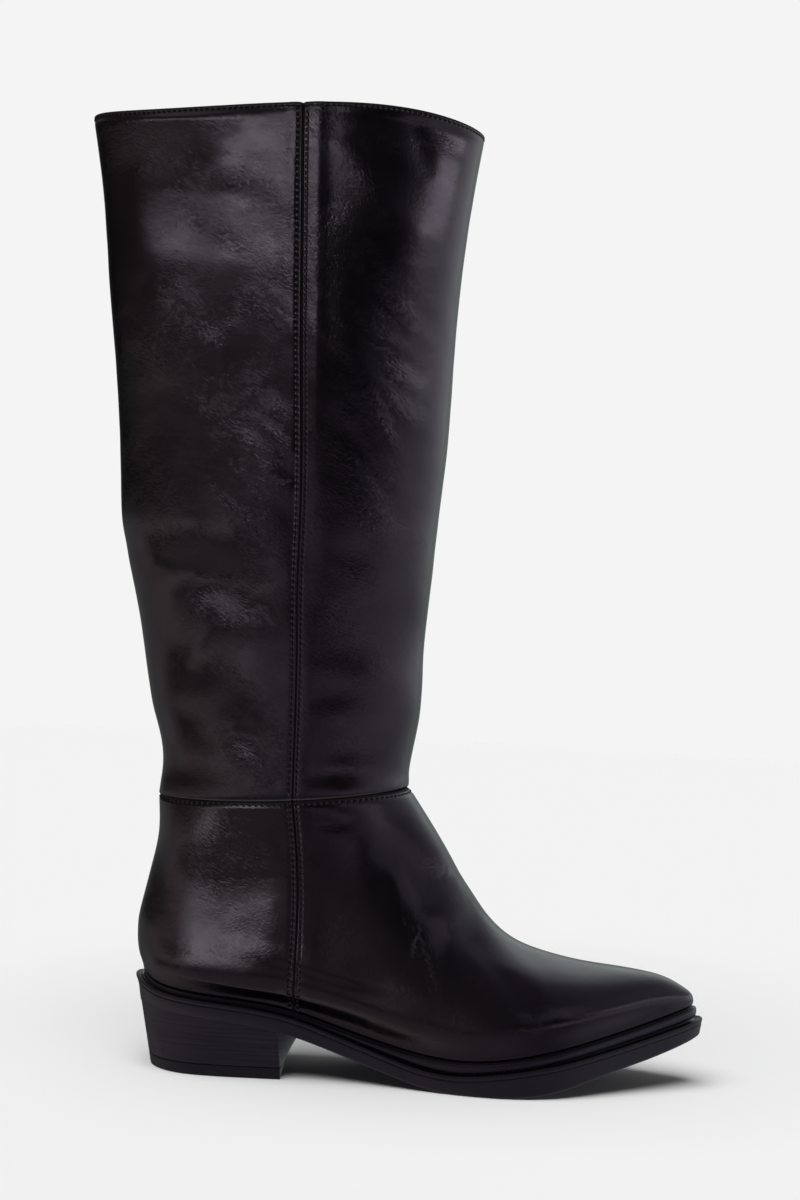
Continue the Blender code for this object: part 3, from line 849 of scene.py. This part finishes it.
def black_leather(name):
    """Smooth black leather-look with a soft gloss.

    Long fine wrinkles run aslant in patches, and bundles of them follow each crease. Both are rounded cells
    drawn out along one axis. Under them lie soft unevenness and pores, and a needle hole between each two
    stitches.
    Painted shade: the seam groove, each needle hole, and the edges at the ankle seam and the collar are
    painted near black.
    """
    made, shader, place = finish_of(name, LEATHER_BLACK, 0.2)
    shader.inputs["Specular Tint"].default_value = LEATHER_SHEEN
    creased, on_crease = place.mark("creased", 2), place.mark("crease_run")
    patches = place.noise(24.0)
    turns = place.stretched(scale=(1.0, 0.8, 1.25)).noise(19.0)
    wavy = place.warped(140.0, 0.0035)
    falling, level = (
        wavy.stretched((0.0, math.radians(aslant), 0.0), (longer, 1.0, 1.0)).cells(950.0).rise(0.0, 0.22)
        for aslant, longer in ((42, 6.0), (22, 5.0))
    )
    turned = turns.rise(0.5, 0.66)
    wrinkles = falling * (1 - turned) + level * turned
    amount = patches.rise(0.38, 0.68, 0.12, 0.6)
    bundle = on_crease.warped(0.22, 2.2).stretched(scale=(1.0, 7.0, 1.0)).cells(1.05).rise(0.0, 0.3)
    pores = place.noise(2100.0, 2.0, 0.6)
    soft = place.noise(170.0, 3.0, 0.55)
    side_away, side_along = place.mark("side_seam").parts(0, 1)
    edge_away, edge_along = place.mark("edge_seam").parts(0, 1)

    def needle_holes(away, along, row, pitch):
        """How far a point lies from the middle of the nearest gap between two stitches of a row."""
        beside = away.size() - row
        between = (along / pitch + 0.5).math("FRACT") - 0.5
        return (beside * beside + between * between * pitch**2).math("SQRT")

    # Painted shade: the seam groove, the foot's edge under the ankle seam, the collar's rolled edge and
    # each needle hole are painted near black, and made rougher.
    groove = side_away.size().rise(0.4, 0.75, 1.0, 0.0)
    painted_edge_shade = edge_away.rise(0.8, 1.35, 1.0, 0.0)
    groove = groove.math("MAXIMUM", painted_edge_shade)
    to_hole = needle_holes(side_away, side_along, STITCH_ROW, STITCH_PITCH).math(
        "MINIMUM", needle_holes(edge_away, edge_along, ANKLE_ROW, ANKLE_PITCH) + 0.25
    )
    painted_hole_shade = to_hole.rise(0.25, 0.6, 1.0, 0.0)
    gloss = place.noise(60.0, 4.0, 0.6)
    softer = soft.relief(0.00028, 0.3, over=pores.relief(0.00005, 0.3))
    grain = (wrinkles * amount).relief(0.00011, 0.5, over=softer)
    bundled = (bundle * creased).relief(0.00007, 0.75, over=grain)
    apply(
        shader,
        # Painted shade in the groove, at the edges and in the needle holes.
        Base_Color=painted_hole_shade.math("MAXIMUM", groove).blend(LEATHER_BLACK, PAINTED_SEAM_SHADE),
        Roughness=gloss.rise(0.3, 0.7, 0.16, 0.23) + painted_hole_shade * 0.4 + groove * 0.6,
        Normal=to_hole.rise(0.1, 1.2).relief(0.0004, 0.7, over=bundled),
    )
    return made


def skinned(name, base, height, every, rounds, creases, to_seam, up_seam, edge):
    """A piece of the upper: its base moved out by the height, walled, lined and marked for its seams.

    edge holds the distance from the top edge and how much its stitches' run is stretched. Returns the piece
    and its skin.
    """
    skin = base + outward(base) * height[..., None]
    wall, leather_rows = walled(skin, every, *rounds)
    slots = np.r_[np.zeros(leather_rows - 1), np.ones(len(wall) - leather_rows + 1)]
    piece = surface(name, wall, [leather, lining], closed=True, slots=slots)
    step = np.linalg.norm(np.roll(skin[-1], -1, axis=0) - skin[-1], axis=-1)
    run = np.r_[0.0, np.cumsum(step)[:-1]] * edge[1]
    flat = np.zeros_like(to_seam)
    sewn_marks(piece, len(wall), {
        "creased": creases[0],
        "crease_run": creases[1],
        "side_seam": np.stack([to_seam, up_seam, flat], axis=-1),
        "edge_seam": np.stack([edge[0], np.broadcast_to(run, flat.shape), flat], axis=-1),
    })
    return piece, skin


leather = black_leather("black_leather")
share = shares_round(FOOT_AROUND, FOOT_LENGTH_ROUND)
foot_base = through_levels(foot_levels(share), FOOT_ROWS)
to_seam, up_seam = from_seams(foot_base, share)
foot_height, creased, crease_run = folded(foot_base, FOOT_FOLDS, FOOT_SWELLS)
below_ankle = up_seam[-1] - up_seam
foot_height *= np.clip((up_seam - OFF_SOLE[0]) / (OFF_SOLE[1] - OFF_SOLE[0]), 0, 1)
foot_height += seam_height(to_seam, FOOT_SEAM_SLACK) * np.clip(up_seam / OFF_SOLE[0], 0, 1)
tuck = FOOT_TUCK * bell(below_ankle, FOOT_TUCK_HALF)
foot_height -= EDGE_PINCH * bell(below_ankle - ANKLE_ROW, ANKLE_PINCH_HALF) + tuck
foot, foot_skin = skinned(
    "foot", foot_base, foot_height, FOOT_INSIDE_EVERY, FOOT_ROUNDS,
    (creased * FOOT_CREASING, crease_run), to_seam, up_seam, (below_ankle, 1.0),
)
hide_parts("upper")
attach(foot, "root")

# ----------------------------------------------------------------------------
# Leg: a front and a back panel of the same leather-look, joined by an open seam down each side and sewn to
# the foot at the ankle. It is lined, its top edge is turned over, and it stands slack, in soft folds.

COLLAR_SIDE_RISE = 2.5
COLLAR_SWING = 8.4
COLLAR_ROW = 1.1
COLLAR_PITCH = 2.7
LEG_AROUND = 250
LEG_LENGTH_ROUND = 440.0
LEG_ROWS = 216
LEG_ROUNDS = (0.7, 0.8)
LEG_INSIDE_EVERY = 6
# How far over the ankle seam the leg's lower edge starts, and under the collar its top row ends.
LEG_ENDS_IN = 0.9
# The unevenness of the leg: height, size and seed of each layer.
LEG_SWELLS = ((0.42, 60.0, 11), (0.07, 22.0, 5))
# Folds fade out over these lengths towards the ankle seam and the collar.
HELD_AT_ANKLE = 18.0
HELD_AT_COLLAR = 6.0
HELD_LEAST = 0.25
# How slack the side seam is at two lengths up from the ankle.
LEG_SEAM_SLACK = {"up": (110, 200), "slack": (0.25, 1.0)}
ANKLE_BULGE = 0.15
ANKLE_BULGE_UP = 3.5
ANKLE_BULGE_HALF = 4.0
COLLAR_PINCH_HALF = 0.9
# The leg's folds, as the foot's are given: the collar and upper calf first, then down to the ankle.
LEG_FOLDS = {
    "outer": (
        (-20, 466, 30, 467, 24.0, 2.3),
        (43, 376, 63, 355, 4.5, 0.22),
        (0, 380, 22, 364, 4.5, 0.15),
        (-14, 356, 6, 333, 4.5, 0.12),
        (1, 368, 35, 346, 4.5, 0.10),
        (8, 413, 47, 388, 4.5, -0.15),
        (28, 433, 60, 415, 4.5, 0.20),
        (48, 325, 67, 315, 4.5, 0.20),
        (38, 311, 62, 295, 4.5, 0.20),
        (40, 292, 71, 277, 4.5, 0.20),
        (48, 276, 65, 258, 4.5, 0.20),
        (26, 284, 44, 266, 4.5, 0.15),
        (28, 204, 57, 182, 4.5, 0.20),
        (35, 162, 68, 145, 4.5, 0.12),
        (84, 447, 107, 413, 4.5, 0.25),
        (101, 454, 113, 443, 4.5, 0.15),
        (100, 385, 129, 358, 4.5, 0.20),
        (86, 372, 115, 352, 4.5, 0.20),
        (71, 364, 94, 342, 4.5, 0.20),
        (102, 349, 124, 333, 4.5, 0.20),
        (106, 335, 131, 313, 4.5, 0.15),
        (79, 310, 104, 288, 4.5, 0.15),
        (80, 287, 120, 251, 4.5, 0.15),
        (87, 249, 116, 237, 4.5, 0.10),
        (122, 462, 140, 462, 16.0, -0.9),
        (-16, 419, 38, 417, 24.0, -1.25),
        (-10, 387, 64, 386, 13.0, 0.55),
        (-9, 424, 12, 423, 5.0, -0.22),
        (12, 421, 51, 419, 5.0, -0.20),
        (58, 459, 59, 441, 1.8, -0.30),
        (30, 440, 34, 452, 6.0, -0.35),
        (49, 377, 66, 364, 2.4, 0.16),
        (47, 372, 66, 357, 2.8, 0.20),
        (40, 380, 56, 366, 2.4, -0.14),
        (-4, 372, 20, 362, 4.0, 0.14),
        (48, 314, 68, 299, 3.0, 0.36),
        (42, 304, 66, 281, 4.0, 0.52),
        (38, 296, 58, 276, 2.2, -0.18),
        (40, 271, 54, 255, 4.0, 0.72),
        (20, 265, 32, 254, 3.0, 0.20),
        (71, 286, 74, 230, 8.0, -1.5),
        (22, 240, 48, 231, 14.0, -4.1),
        (-14, 262, 20, 262, 14.0, 1.0),
        (5, 215, 24, 203, 12.0, 0.8),
        (-12, 254, 2, 245, 6.0, -0.8),
        (24, 200, 30, 218, 5.0, -0.7),
        (46, 170, 57, 158, 8.0, -1.9),
        (4, 185, 28, 182, 12.0, -0.9),
        (24, 168, 46, 150, 9.0, 0.5),
        (60, 149, 66, 140, 4.0, -0.5),
        (88, 147, 106, 148, 8.0, -1.5),
        (82, 197, 122, 195, 9.0, 0.45),
        (82, 232, 122, 234, 12.0, 0.5),
        (81, 172, 105, 178, 10.0, 0.5),
        (82, 442, 121, 407, 7.0, 0.45),
        (94, 396, 114, 359, 7.0, -0.5),
        (81, 372, 107, 326, 6.0, 0.4),
        (88, 315, 119, 270, 6.0, -0.5),
        (100, 330, 118, 300, 3.0, 0.2),
        (118, 456, 124, 440, 5.0, -0.8),
        (122, 454, 140, 450, 4.0, 0.4),
    ),
    "inner": (
        (0, 440, 44, 412, 10.0, -0.8),
        (4, 396, 50, 402, 12.0, 0.7),
        (40, 372, 66, 350, 3.0, 0.25),
        (30, 306, 64, 292, 3.0, 0.3),
        (32, 250, 56, 238, 10.0, -1.4),
        (26, 232, 60, 220, 4.4, 0.5),
        (16, 184, 32, 212, 8.0, -1.0),
        (10, 176, 44, 144, 9.0, 0.9),
        (88, 144, 110, 147, 6.5, -1.2),
        (86, 430, 122, 380, 9.0, -0.6),
        (84, 330, 118, 290, 6.0, 0.4),
        (86, 222, 120, 230, 8.0, 0.6),
    ),
}


def leg_levels(share):
    """The leg's levels from the ankle seam to the collar, whose edge rises ahead of the side seams."""
    levels = [ankle_ring(share) + (0, 0, LEG_ENDS_IN)]
    for row in LEG_RINGS[1:]:
        ring, turn = leg_ring(share, row)
        levels.append(ring)
    beside = np.sin(turn) ** 2
    levels[-1][:, 2] += COLLAR_SIDE_RISE * beside + COLLAR_SWING * np.cos(turn) * beside - LEG_ENDS_IN
    return np.array(levels)


share = shares_round(LEG_AROUND, LEG_LENGTH_ROUND)
leg_base = through_levels(leg_levels(share), LEG_ROWS)
to_seam, up_seam = from_seams(leg_base, share)
below_collar = up_seam[-1] - up_seam
leg_height, creased, crease_run = folded(leg_base, LEG_FOLDS, LEG_SWELLS)
leg_height *= np.clip(up_seam / HELD_AT_ANKLE, 0, 1) * np.clip(below_collar / HELD_AT_COLLAR, HELD_LEAST, 1)
leg_height += seam_height(to_seam, np.interp(up_seam, LEG_SEAM_SLACK["up"], LEG_SEAM_SLACK["slack"]))
bulge = ANKLE_BULGE * bell(up_seam - ANKLE_BULGE_UP, ANKLE_BULGE_HALF)
leg_height += bulge - EDGE_PINCH * bell(below_collar - COLLAR_ROW, COLLAR_PINCH_HALF)
leg, leg_skin = skinned(
    "leg", leg_base, leg_height, LEG_INSIDE_EVERY, LEG_ROUNDS, (creased, crease_run),
    to_seam, up_seam, (below_collar + ANKLE_ROW - COLLAR_ROW, ANKLE_PITCH / COLLAR_PITCH),
)
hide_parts("shaft")
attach(leg, "root")

# ----------------------------------------------------------------------------
# Stitches: black polyester thread, one row each side of the side seams, one under the ankle seam and one
# under the collar. Each stitch is a short round of thread pulled half way into the leather.

THREAD_RADIUS = 0.34
THREAD_PROUD = 0.06
THREAD_SIDES = 6
THREAD_FLATNESS = 0.8
STITCH_SHARE = 0.68
# How many rows from the top edge can hold a row of stitches round it.
EDGE_ROWS = 12
THREAD_BLACK = (0.004, 0.0035, 0.0045, 1.0)


def stitch_shape(length):
    """A rounded rod: rings whose radius follows a half circle's height near both ends."""
    around = np.arange(THREAD_SIDES) * 2 * math.pi / THREAD_SIDES
    along = np.array([-0.5, -0.42, -0.2, 0.2, 0.42, 0.5])
    radius = THREAD_RADIUS * np.array([0.15, 0.7, 1.0, 1.0, 0.7, 0.15])
    return np.stack([
        np.broadcast_to((along * length)[:, None], (len(along), THREAD_SIDES)),
        radius[:, None] * np.cos(around),
        radius[:, None] * np.sin(around) * THREAD_FLATNESS,
    ], axis=-1)


def stitch_rows(path, normals, gone, pitch, first=0):
    """Rods along a path whose points lie at given lengths: one amid each pitch, from the first pitch on."""
    at = np.arange((first + 0.5) * pitch, gone[-1] - pitch / 3, pitch)
    middle_at, out, ahead = (
        np.stack([np.interp(at, gone, values[:, axis]) for axis in range(3)], axis=-1)
        for values in (path, normals, np.gradient(path, gone, axis=0))
    )
    ahead /= np.linalg.norm(ahead, axis=-1, keepdims=True)
    beside = np.cross(out, ahead)
    rod = stitch_shape(pitch * STITCH_SHARE)
    return (
        middle_at[:, None, None, :]
        + rod[None, ..., 0:1] * ahead[:, None, None, :]
        + rod[None, ..., 1:2] * beside[:, None, None, :]
        + (rod[None, ..., 2:3] + THREAD_PROUD) * out[:, None, None, :]
    )


def stitches(name, rows):
    """One mesh of many rods, each closed at its ends by a flat cap."""
    rods = np.concatenate(rows)
    faces = []
    ring = np.arange(THREAD_SIDES)
    for level in range(rods.shape[1] - 1):
        low, high = level * THREAD_SIDES + ring, level * THREAD_SIDES + np.roll(ring, -1)
        faces.append(np.stack([low, high, high + THREAD_SIDES, low + THREAD_SIDES], axis=-1))
    faces.append(np.array([[0, 5, 4, 3], [0, 3, 2, 1], [30, 31, 32, 33], [30, 33, 34, 35]]))
    faces = np.concatenate(faces)
    each = rods.shape[1] * THREAD_SIDES
    whole = (faces[None] + np.arange(len(rods))[:, None, None] * each).reshape(-1, 4)
    mesh = bpy.data.meshes.new(name)
    mesh.from_pydata(into_scene(rods.reshape(-1, 3)).tolist(), [], whole.tolist())
    mesh.materials.append(thread)
    mesh.shade_smooth()
    made = placed(name, mesh)
    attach(made, "root")
    return made


def twisted_thread(name):
    """Black polyester with a faint sheen and a fine twist."""
    made, shader, place = finish_of(name, THREAD_BLACK, 0.8, specular=0.12)
    twist = place.node(
        "ShaderNodeTexWave", {"wave_type": "BANDS", "bands_direction": "DIAGONAL"},
        {"Vector": place, "Scale": 900.0, "Distortion": 1.0}, output=1,
    )
    apply(
        shader,
        Base_Color=twist.blend(THREAD_BLACK, (0.010, 0.009, 0.011, 1.0)),
        Normal=twist.relief(0.0001, 0.5),
    )
    return made


thread = twisted_thread("black_thread")
rows = []
for skin, base, count, length, first in (
    (leg_skin, leg_base, LEG_AROUND, LEG_LENGTH_ROUND, 1),
    (foot_skin, foot_base, FOOT_AROUND, FOOT_LENGTH_ROUND, 3),
):
    normal = outward(skin)
    around = shares_round(count, length)
    climb = from_seams(base, around)[1]
    for seam in (0.25, 0.75):
        for hand in (-1, 1):
            wanted = (seam - 0.25 + hand * STITCH_ROW / length) % 1 + 0.25
            column = int(np.argmin(np.abs(around - wanted)))
            path = skin[:-2, column], normal[:-2, column]
            rows.append(stitch_rows(*path, climb[:-2, 0], STITCH_PITCH, first))
stitches("side_seam_stitches", rows)


def row_below(skin, distance):
    """The ring of points at a distance below the skin's top edge, closed, and its normals."""
    top_rows = skin[-EDGE_ROWS:]
    step = np.linalg.norm(np.diff(top_rows, axis=0), axis=-1).mean(axis=1)
    below = np.r_[np.cumsum(step[::-1])[::-1], 0.0]
    upper = int(np.searchsorted(-below, -distance))
    t = (below[upper - 1] - distance) / (below[upper - 1] - below[upper])
    for values in (top_rows, outward(skin)[-EDGE_ROWS:]):
        ring = values[upper - 1] * (1 - t) + values[upper] * t
        yield np.concatenate([ring, ring[:1]])


for name, skin, row, pitch in (
    ("collar_stitches", leg_skin, COLLAR_ROW, COLLAR_PITCH),
    ("ankle_stitches", foot_skin, ANKLE_ROW, ANKLE_PITCH),
):
    path, normal = row_below(skin, row)
    top = np.concatenate([skin[-1], skin[-1, :1]])
    round_edge = np.r_[0.0, np.cumsum(np.linalg.norm(np.diff(top, axis=0), axis=-1))]
    stitches(name, [stitch_rows(path, normal, round_edge, pitch)])

# ----------------------------------------------------------------------------
# Heel block: a low block of thin black layers, stacked and ground smooth, that follows the sole's edge on
# top. Its breast swells forward between two square front corners.

HEEL_BREAST = 72.0
HEEL_RAKE = 2.5
HEEL_FLARE = 11.0
HEEL_FLARE_FADE = 1.15
HEEL_FLARE_POWER = 4
HEEL_BACK_IN = 6.2
HEEL_SIDE_TAPER = 0.92
HEEL_BACK_POINTS = 141
HEEL_BREAST_POINTS = 16
HEEL_LEVELS = 30
HEEL_SUNK = 0.45
BEVEL_FROM = 40
SHARP_FROM = 32
BLOCK_BEVEL = 0.45
LIFT_HEIGHT = 5.6
LIFT_GAP = 0.1


def heel_ring(part):
    """The block in plan at a part of the way from sole to floor: the edge drawn in, and the breast."""
    start = math.acos(2 * HEEL_BREAST / SOLE_LENGTH - 1)
    turn = np.linspace(start, 2 * math.pi - start, HEEL_BACK_POINTS)
    seat = inset(turn, side_line("draft", sole_outline(turn)[:, 0]))
    reach = seat[0, 0] - seat[:, 0].min()
    corner = seat[0, 0] + HEEL_RAKE * part
    shorter = (reach - (HEEL_BACK_IN - HEEL_RAKE) * part) / reach
    narrower = 1 - (1 - HEEL_SIDE_TAPER) * part
    back = np.stack([corner - (seat[0, 0] - seat[:, 0]) * shorter, seat[:, 1] * narrower], axis=-1)
    over = np.linspace(0, 1, HEEL_BREAST_POINTS, endpoint=False)
    forward = HEEL_FLARE * (1 - part) ** HEEL_FLARE_FADE * (1 - over**HEEL_FLARE_POWER)
    breast = np.stack([corner + forward, over * back[0, 1]], axis=-1)
    return np.concatenate([breast, back, breast[:0:-1] * (1, -1)])


def heel_levels(parts, heights):
    """Rings of the heel at parts of the way down, with each ring's heights."""
    return np.array([raised(heel_ring(part), height) for part, height in zip(parts, heights)])


def stacked_layers(name):
    """Ground layers: fine level lines of uneven strength, a slight haze between them, and a few scuffs."""
    made, shader, place = finish_of(name, RUBBER_BLACK, 0.46, specular=0.42)
    shader.inputs["Specular Tint"].default_value = RUBBER_SHEEN
    level = place.stretched(scale=(33.0, 33.0, 1.0))
    lines = level.noise(950.0, 3.0, 0.7)
    broad = level.noise(260.0, 1.0)
    haze = place.noise(60.0, 3.0)
    scuffs = place.stretched(turn=(0.0, 0.3, 0.0), scale=(5.0, 1.0, 1.0)).noise(500.0, 3.0, 0.7)
    apply(
        shader,
        Base_Color=(lines.rise(0.4, 0.62) * 0.7).blend(RUBBER_BLACK, (0.022, 0.019, 0.027, 1.0)),
        Roughness=haze.rise(0.3, 0.7, 0.4, 0.54) + scuffs.rise(0.66, 0.76) * 0.12,
        Normal=lines.relief(0.00018, 0.55, over=broad.relief(0.0003, 0.4)),
    )
    return made


def solid_block(name, levels, finish, width):
    """A closed block through rings, whose sharp edges are broken with a narrow round of a given width."""
    made = surface(name, levels, [finish], capped=True)
    made.data.set_sharp_from_angle(angle=math.radians(SHARP_FROM))
    bevel = made.modifiers.new("edge", "BEVEL")
    bevel.width = width * MM
    bevel.segments = 3
    bevel.limit_method = "ANGLE"
    bevel.angle_limit = math.radians(BEVEL_FROM)
    return made


stack = stacked_layers("stacked_heel")
seat = side_line("edge", heel_ring(0.0)[:, 0]) + HEEL_SUNK
block_foot = LIFT_HEIGHT + LIFT_GAP
foot_part = 1 - block_foot / float(side_line("edge", 0.0))
climbs = np.linspace(0, 1, HEEL_LEVELS)
block_heights = [block_foot + (seat - block_foot) * climb for climb in climbs]
block = heel_levels(foot_part * (1 - climbs), block_heights)
heel_block = solid_block("heel_block", block, stack, BLOCK_BEVEL)
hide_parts("heel")
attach(heel_block, "root")

# ----------------------------------------------------------------------------
# Top lift: the replaceable rubber sole of the heel, nailed on under the block. Its lower edge is rounded by
# wear and its side is a little duller than the block's.

LIFT_LEVELS = 7
LIFT_BEVEL = 0.5
LIFT_BLACK = (0.0100, 0.0086, 0.0126, 1.0)

lift_parts = 1 - (1 - foot_part) * np.linspace(0, 1, LIFT_LEVELS)
lift = heel_levels(lift_parts, np.linspace(0, LIFT_HEIGHT, LIFT_LEVELS))
lift_rubber = moulded_rubber("black_lift_rubber", LIFT_BLACK, 0.5)
top_lift = solid_block("top_lift", lift, lift_rubber, LIFT_BEVEL)
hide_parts("heel_tip")
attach(top_lift, "root")

# ----------------------------------------------------------------------------
# Studio: a plain pale floor in a room that the leather mirrors, brighter and darker by the way round and
# by height, and warmer at the left. Soft lamps give foot and leg their highlights, and a broad light is
# overhead for the floor. The camera is level with the shin on the outer side, and rolled a little.

FLOOR_RADIUS = 2.4
FLOOR_POINTS = 96
FLOOR_PALE = (0.9, 0.9, 0.9, 1.0)
SURROUND = 0.905
# How bright the room is, by the way round it: 0 degrees is in front and 90 at the right. The columns go up:
# the floor's far parts, what stands on them, just under eye level, level, a little higher, high, overhead.
ROOM = (
    (-180, 0.20, 0.20, 0.20, 0.20, 0.30, 0.80, 0.70),
    (-150, 0.15, 0.08, 0.15, 0.03, 0.06, 0.30, 0.60),
    (-125, 0.25, 0.25, 0.22, 0.01, 0.05, 0.30, 0.60),
    (-105, 0.40, 0.45, 0.35, 0.04, 0.06, 0.15, 0.60),
    (-85, 0.50, 0.08, 0.60, 0.09, 0.10, 0.12, 0.60),
    (-60, 0.55, 0.08, 0.85, 0.15, 0.14, 0.12, 0.60),
    (-42, 0.45, 0.10, 0.85, 0.18, 0.15, 0.12, 0.60),
    (-24, 0.34, 0.12, 0.60, 0.18, 0.15, 0.12, 0.45),
    (-10, 0.30, 0.12, 0.28, 0.20, 0.18, 0.15, 0.30),
    (-2, 0.30, 0.12, 0.20, 0.14, 0.16, 0.15, 0.25),
    (6, 0.32, 0.12, 0.20, 0.12, 0.15, 0.15, 0.20),
    (14, 0.30, 0.10, 0.25, 0.06, 0.08, 0.12, 0.20),
    (22, 0.25, 0.10, 0.38, 0.02, 0.03, 0.06, 0.15),
    (40, 0.18, 0.10, 0.62, 0.02, 0.03, 0.06, 0.18),
    (54, 0.20, 0.14, 0.65, 0.18, 0.30, 0.15, 0.20),
    (66, 0.30, 0.28, 0.62, 0.55, 1.30, 0.30, 0.25),
    (85, 0.40, 0.40, 0.60, 0.85, 1.70, 0.40, 0.30),
    (105, 0.50, 0.55, 0.60, 1.30, 1.70, 0.50, 0.35),
    (125, 0.50, 0.55, 0.62, 1.15, 1.20, 0.60, 0.50),
    (145, 0.30, 0.30, 0.32, 0.45, 0.50, 1.00, 0.75),
    (180, 0.20, 0.20, 0.20, 0.20, 0.30, 0.80, 0.70),
)
# Where each column fades into the next, as heights on a sphere of radius 1.
ZONE_EDGES = (
    (-0.42, -0.34), (-0.265, -0.21), (-0.06, 0.0), (0.155, 0.185), (0.235, 0.26), (0.58, 0.72),
)
# How warm the room's light is, by the way round it: the green and the blue for a full red.
WARMTH = (
    (-120, 1.0, 1.0), (-80, 0.91, 0.81), (-25, 0.92, 0.85),
    (0, 0.97, 0.98), (30, 1.0, 1.08), (120, 1.1, 1.08),
)
# The share of the room's light that falls on rough surfaces; all of it is mirrored.
DIFFUSE_SHARE = 0.25
# The soft lamps: what each lights, its name and outline, the way round to it, how far up it is, how far
# away in metres, its width and height, its brightness, the point of the shoe that it faces, and its colour.
LAMPS = (
    (foot, "low_box", "ELLIPSE", -27, 0, 0.6, (0.46, 0.17), 0.7, (40, -30, 79), (0.85, 1.0, 0.88)),
    (foot, "low_core", "ELLIPSE", -23, 0, 0.6, (0.27, 0.11), 1.3, (40, -30, 79), (0.85, 1.0, 0.88)),
    (foot, "instep_box", "RECTANGLE", 44, 17, 0.6, (0.36, 0.24), 0.28, (124, -25, 104), (0.93, 1.0, 0.97)),
    (leg, "left_box", "RECTANGLE", -46, 16.1, 2.0, (1.20, 0.19), 2.4, (60, 0, 404), (0.92, 1.0, 0.93)),
    (leg, "front_box", "RECTANGLE", -8, 16.1, 2.0, (1.40, 0.19), 4.0, (60, 0, 404), (0.92, 1.0, 0.93)),
    (leg, "right_box", "RECTANGLE", 74, 13, 1.2, (0.56, 0.22), 1.7, (133, -25, 425), (0.92, 1.0, 0.97)),
    (leg, "knee_box", "RECTANGLE", -8, -6.5, 2.0, (1.30, 0.24), 0.42, (60, 0, 200), (1.0, 0.94, 0.95)),
)
OVERHEAD_SPREAD = 55
OVERHEAD_STRENGTH = 2.92
OVERHEAD_TILT = (15, -12, 0)
CAMERA_AT = (120.6, -1000.0, 232.3)
CAMERA_LENS = 60.9
CAMERA_ROLL = 2.8


def soft_box(name, outline, azimuth, elevation, away, size, brightness, look_at, colour):
    """A soft lamp on a sphere round the boot, facing it. Its power is its brightness times 4 areas."""
    lamp = bpy.data.lights.new(name, "AREA")
    lamp.shape = outline
    lamp.size, lamp.size_y = size
    lamp.energy = 4 * brightness * size[0] * size[1]
    lamp.color = colour
    made = placed(name, lamp)
    a, e = math.radians(azimuth), math.radians(elevation)
    out = np.array([math.sin(a) * math.cos(e), -math.cos(a) * math.cos(e), math.sin(e)])
    made.location = into_scene(look_at) + out * away
    made.rotation_euler = (math.pi / 2 - e, 0.0, a)
    made.visible_camera = False
    return made


def lights_only(lamp, receiver):
    """Lets a lamp light one object and nothing else."""
    lit = bpy.data.collections.new("lit_by_" + lamp.name)
    lit.objects.link(receiver)
    lamp.light_linking.receiver_collection = lit


turn = np.arange(FLOOR_POINTS) * 2 * math.pi / FLOOR_POINTS
disc = np.stack([FLOOR_RADIUS * np.cos(turn), FLOOR_RADIUS * np.sin(turn), 0 * turn], axis=-1)
floor_mesh = bpy.data.meshes.new("floor")
floor_mesh.from_pydata(disc.tolist(), [], [list(range(FLOOR_POINTS))])
floor_mesh.materials.append(finish_of("pale_floor", FLOOR_PALE, 0.95, specular=0.0)[0])
floor = placed("floor", floor_mesh)
floor.visible_glossy = False

for receiver, *lamp in LAMPS:
    lights_only(soft_box(*lamp), receiver)
sun = bpy.data.lights.new("overhead", "SUN")
sun.angle = math.radians(OVERHEAD_SPREAD)
sun.energy = OVERHEAD_STRENGTH
overhead = placed("overhead", sun)
overhead.rotation_euler = [math.radians(angle) for angle in OVERHEAD_TILT]
lights_only(overhead, floor)

world = bpy.data.worlds.new("studio")
bpy.context.scene.world = world
world.use_nodes = True
sky = Reading(world.node_tree)
east, north, up = sky.node("ShaderNodeTexCoord", output="Generated").parts(0, 1, 2)
round_room = (east.math("ARCTAN2", north * -1.0)) / (2 * math.pi) + 0.5


def round_ramp(stops):
    """A colour by the way round the room, from stops in degrees."""
    stops = [((azimuth + 180) / 360, colour) for azimuth, colour in stops]
    return round_room.node("ShaderNodeValToRGB", {"stops": stops}, {"Fac": round_room})


zones = [round_ramp([(row[0], (row[zone],) * 3 + (1.0,)) for row in ROOM]) for zone in range(1, 8)]
level = zones[0]
for zone, (starts, ends) in zip(zones[1:], ZONE_EDGES):
    above = up.rise(starts, ends)
    level = above * zone + (1 - above) * level
seen, spread = (sky.node("ShaderNodeLightPath", output=output) for output in (0, 2))
level = level * (1 - spread * (1 - DIFFUSE_SHARE))
level = seen * SURROUND + (1 - seen) * level
warm = round_ramp([(azimuth, (1.0, green, blue, 1.0)) for azimuth, green, blue in WARMTH])
light = seen.math("MAXIMUM", spread).blend(warm, (1.0, 1.0, 1.0, 1.0))
background = world.node_tree.nodes["Background"]
world.node_tree.links.new(level.socket, background.inputs["Strength"])
world.node_tree.links.new(light.socket, background.inputs["Color"])

camera = placed("camera", bpy.data.cameras.new("camera"))
camera.data.lens = CAMERA_LENS
camera.data.sensor_width = 36.0
camera.location = into_scene(CAMERA_AT)
camera.rotation_euler = (math.pi / 2, -math.radians(CAMERA_ROLL), 0.0)
bpy.context.scene.camera = camera
bpy.context.scene.view_settings.view_transform = "Standard"
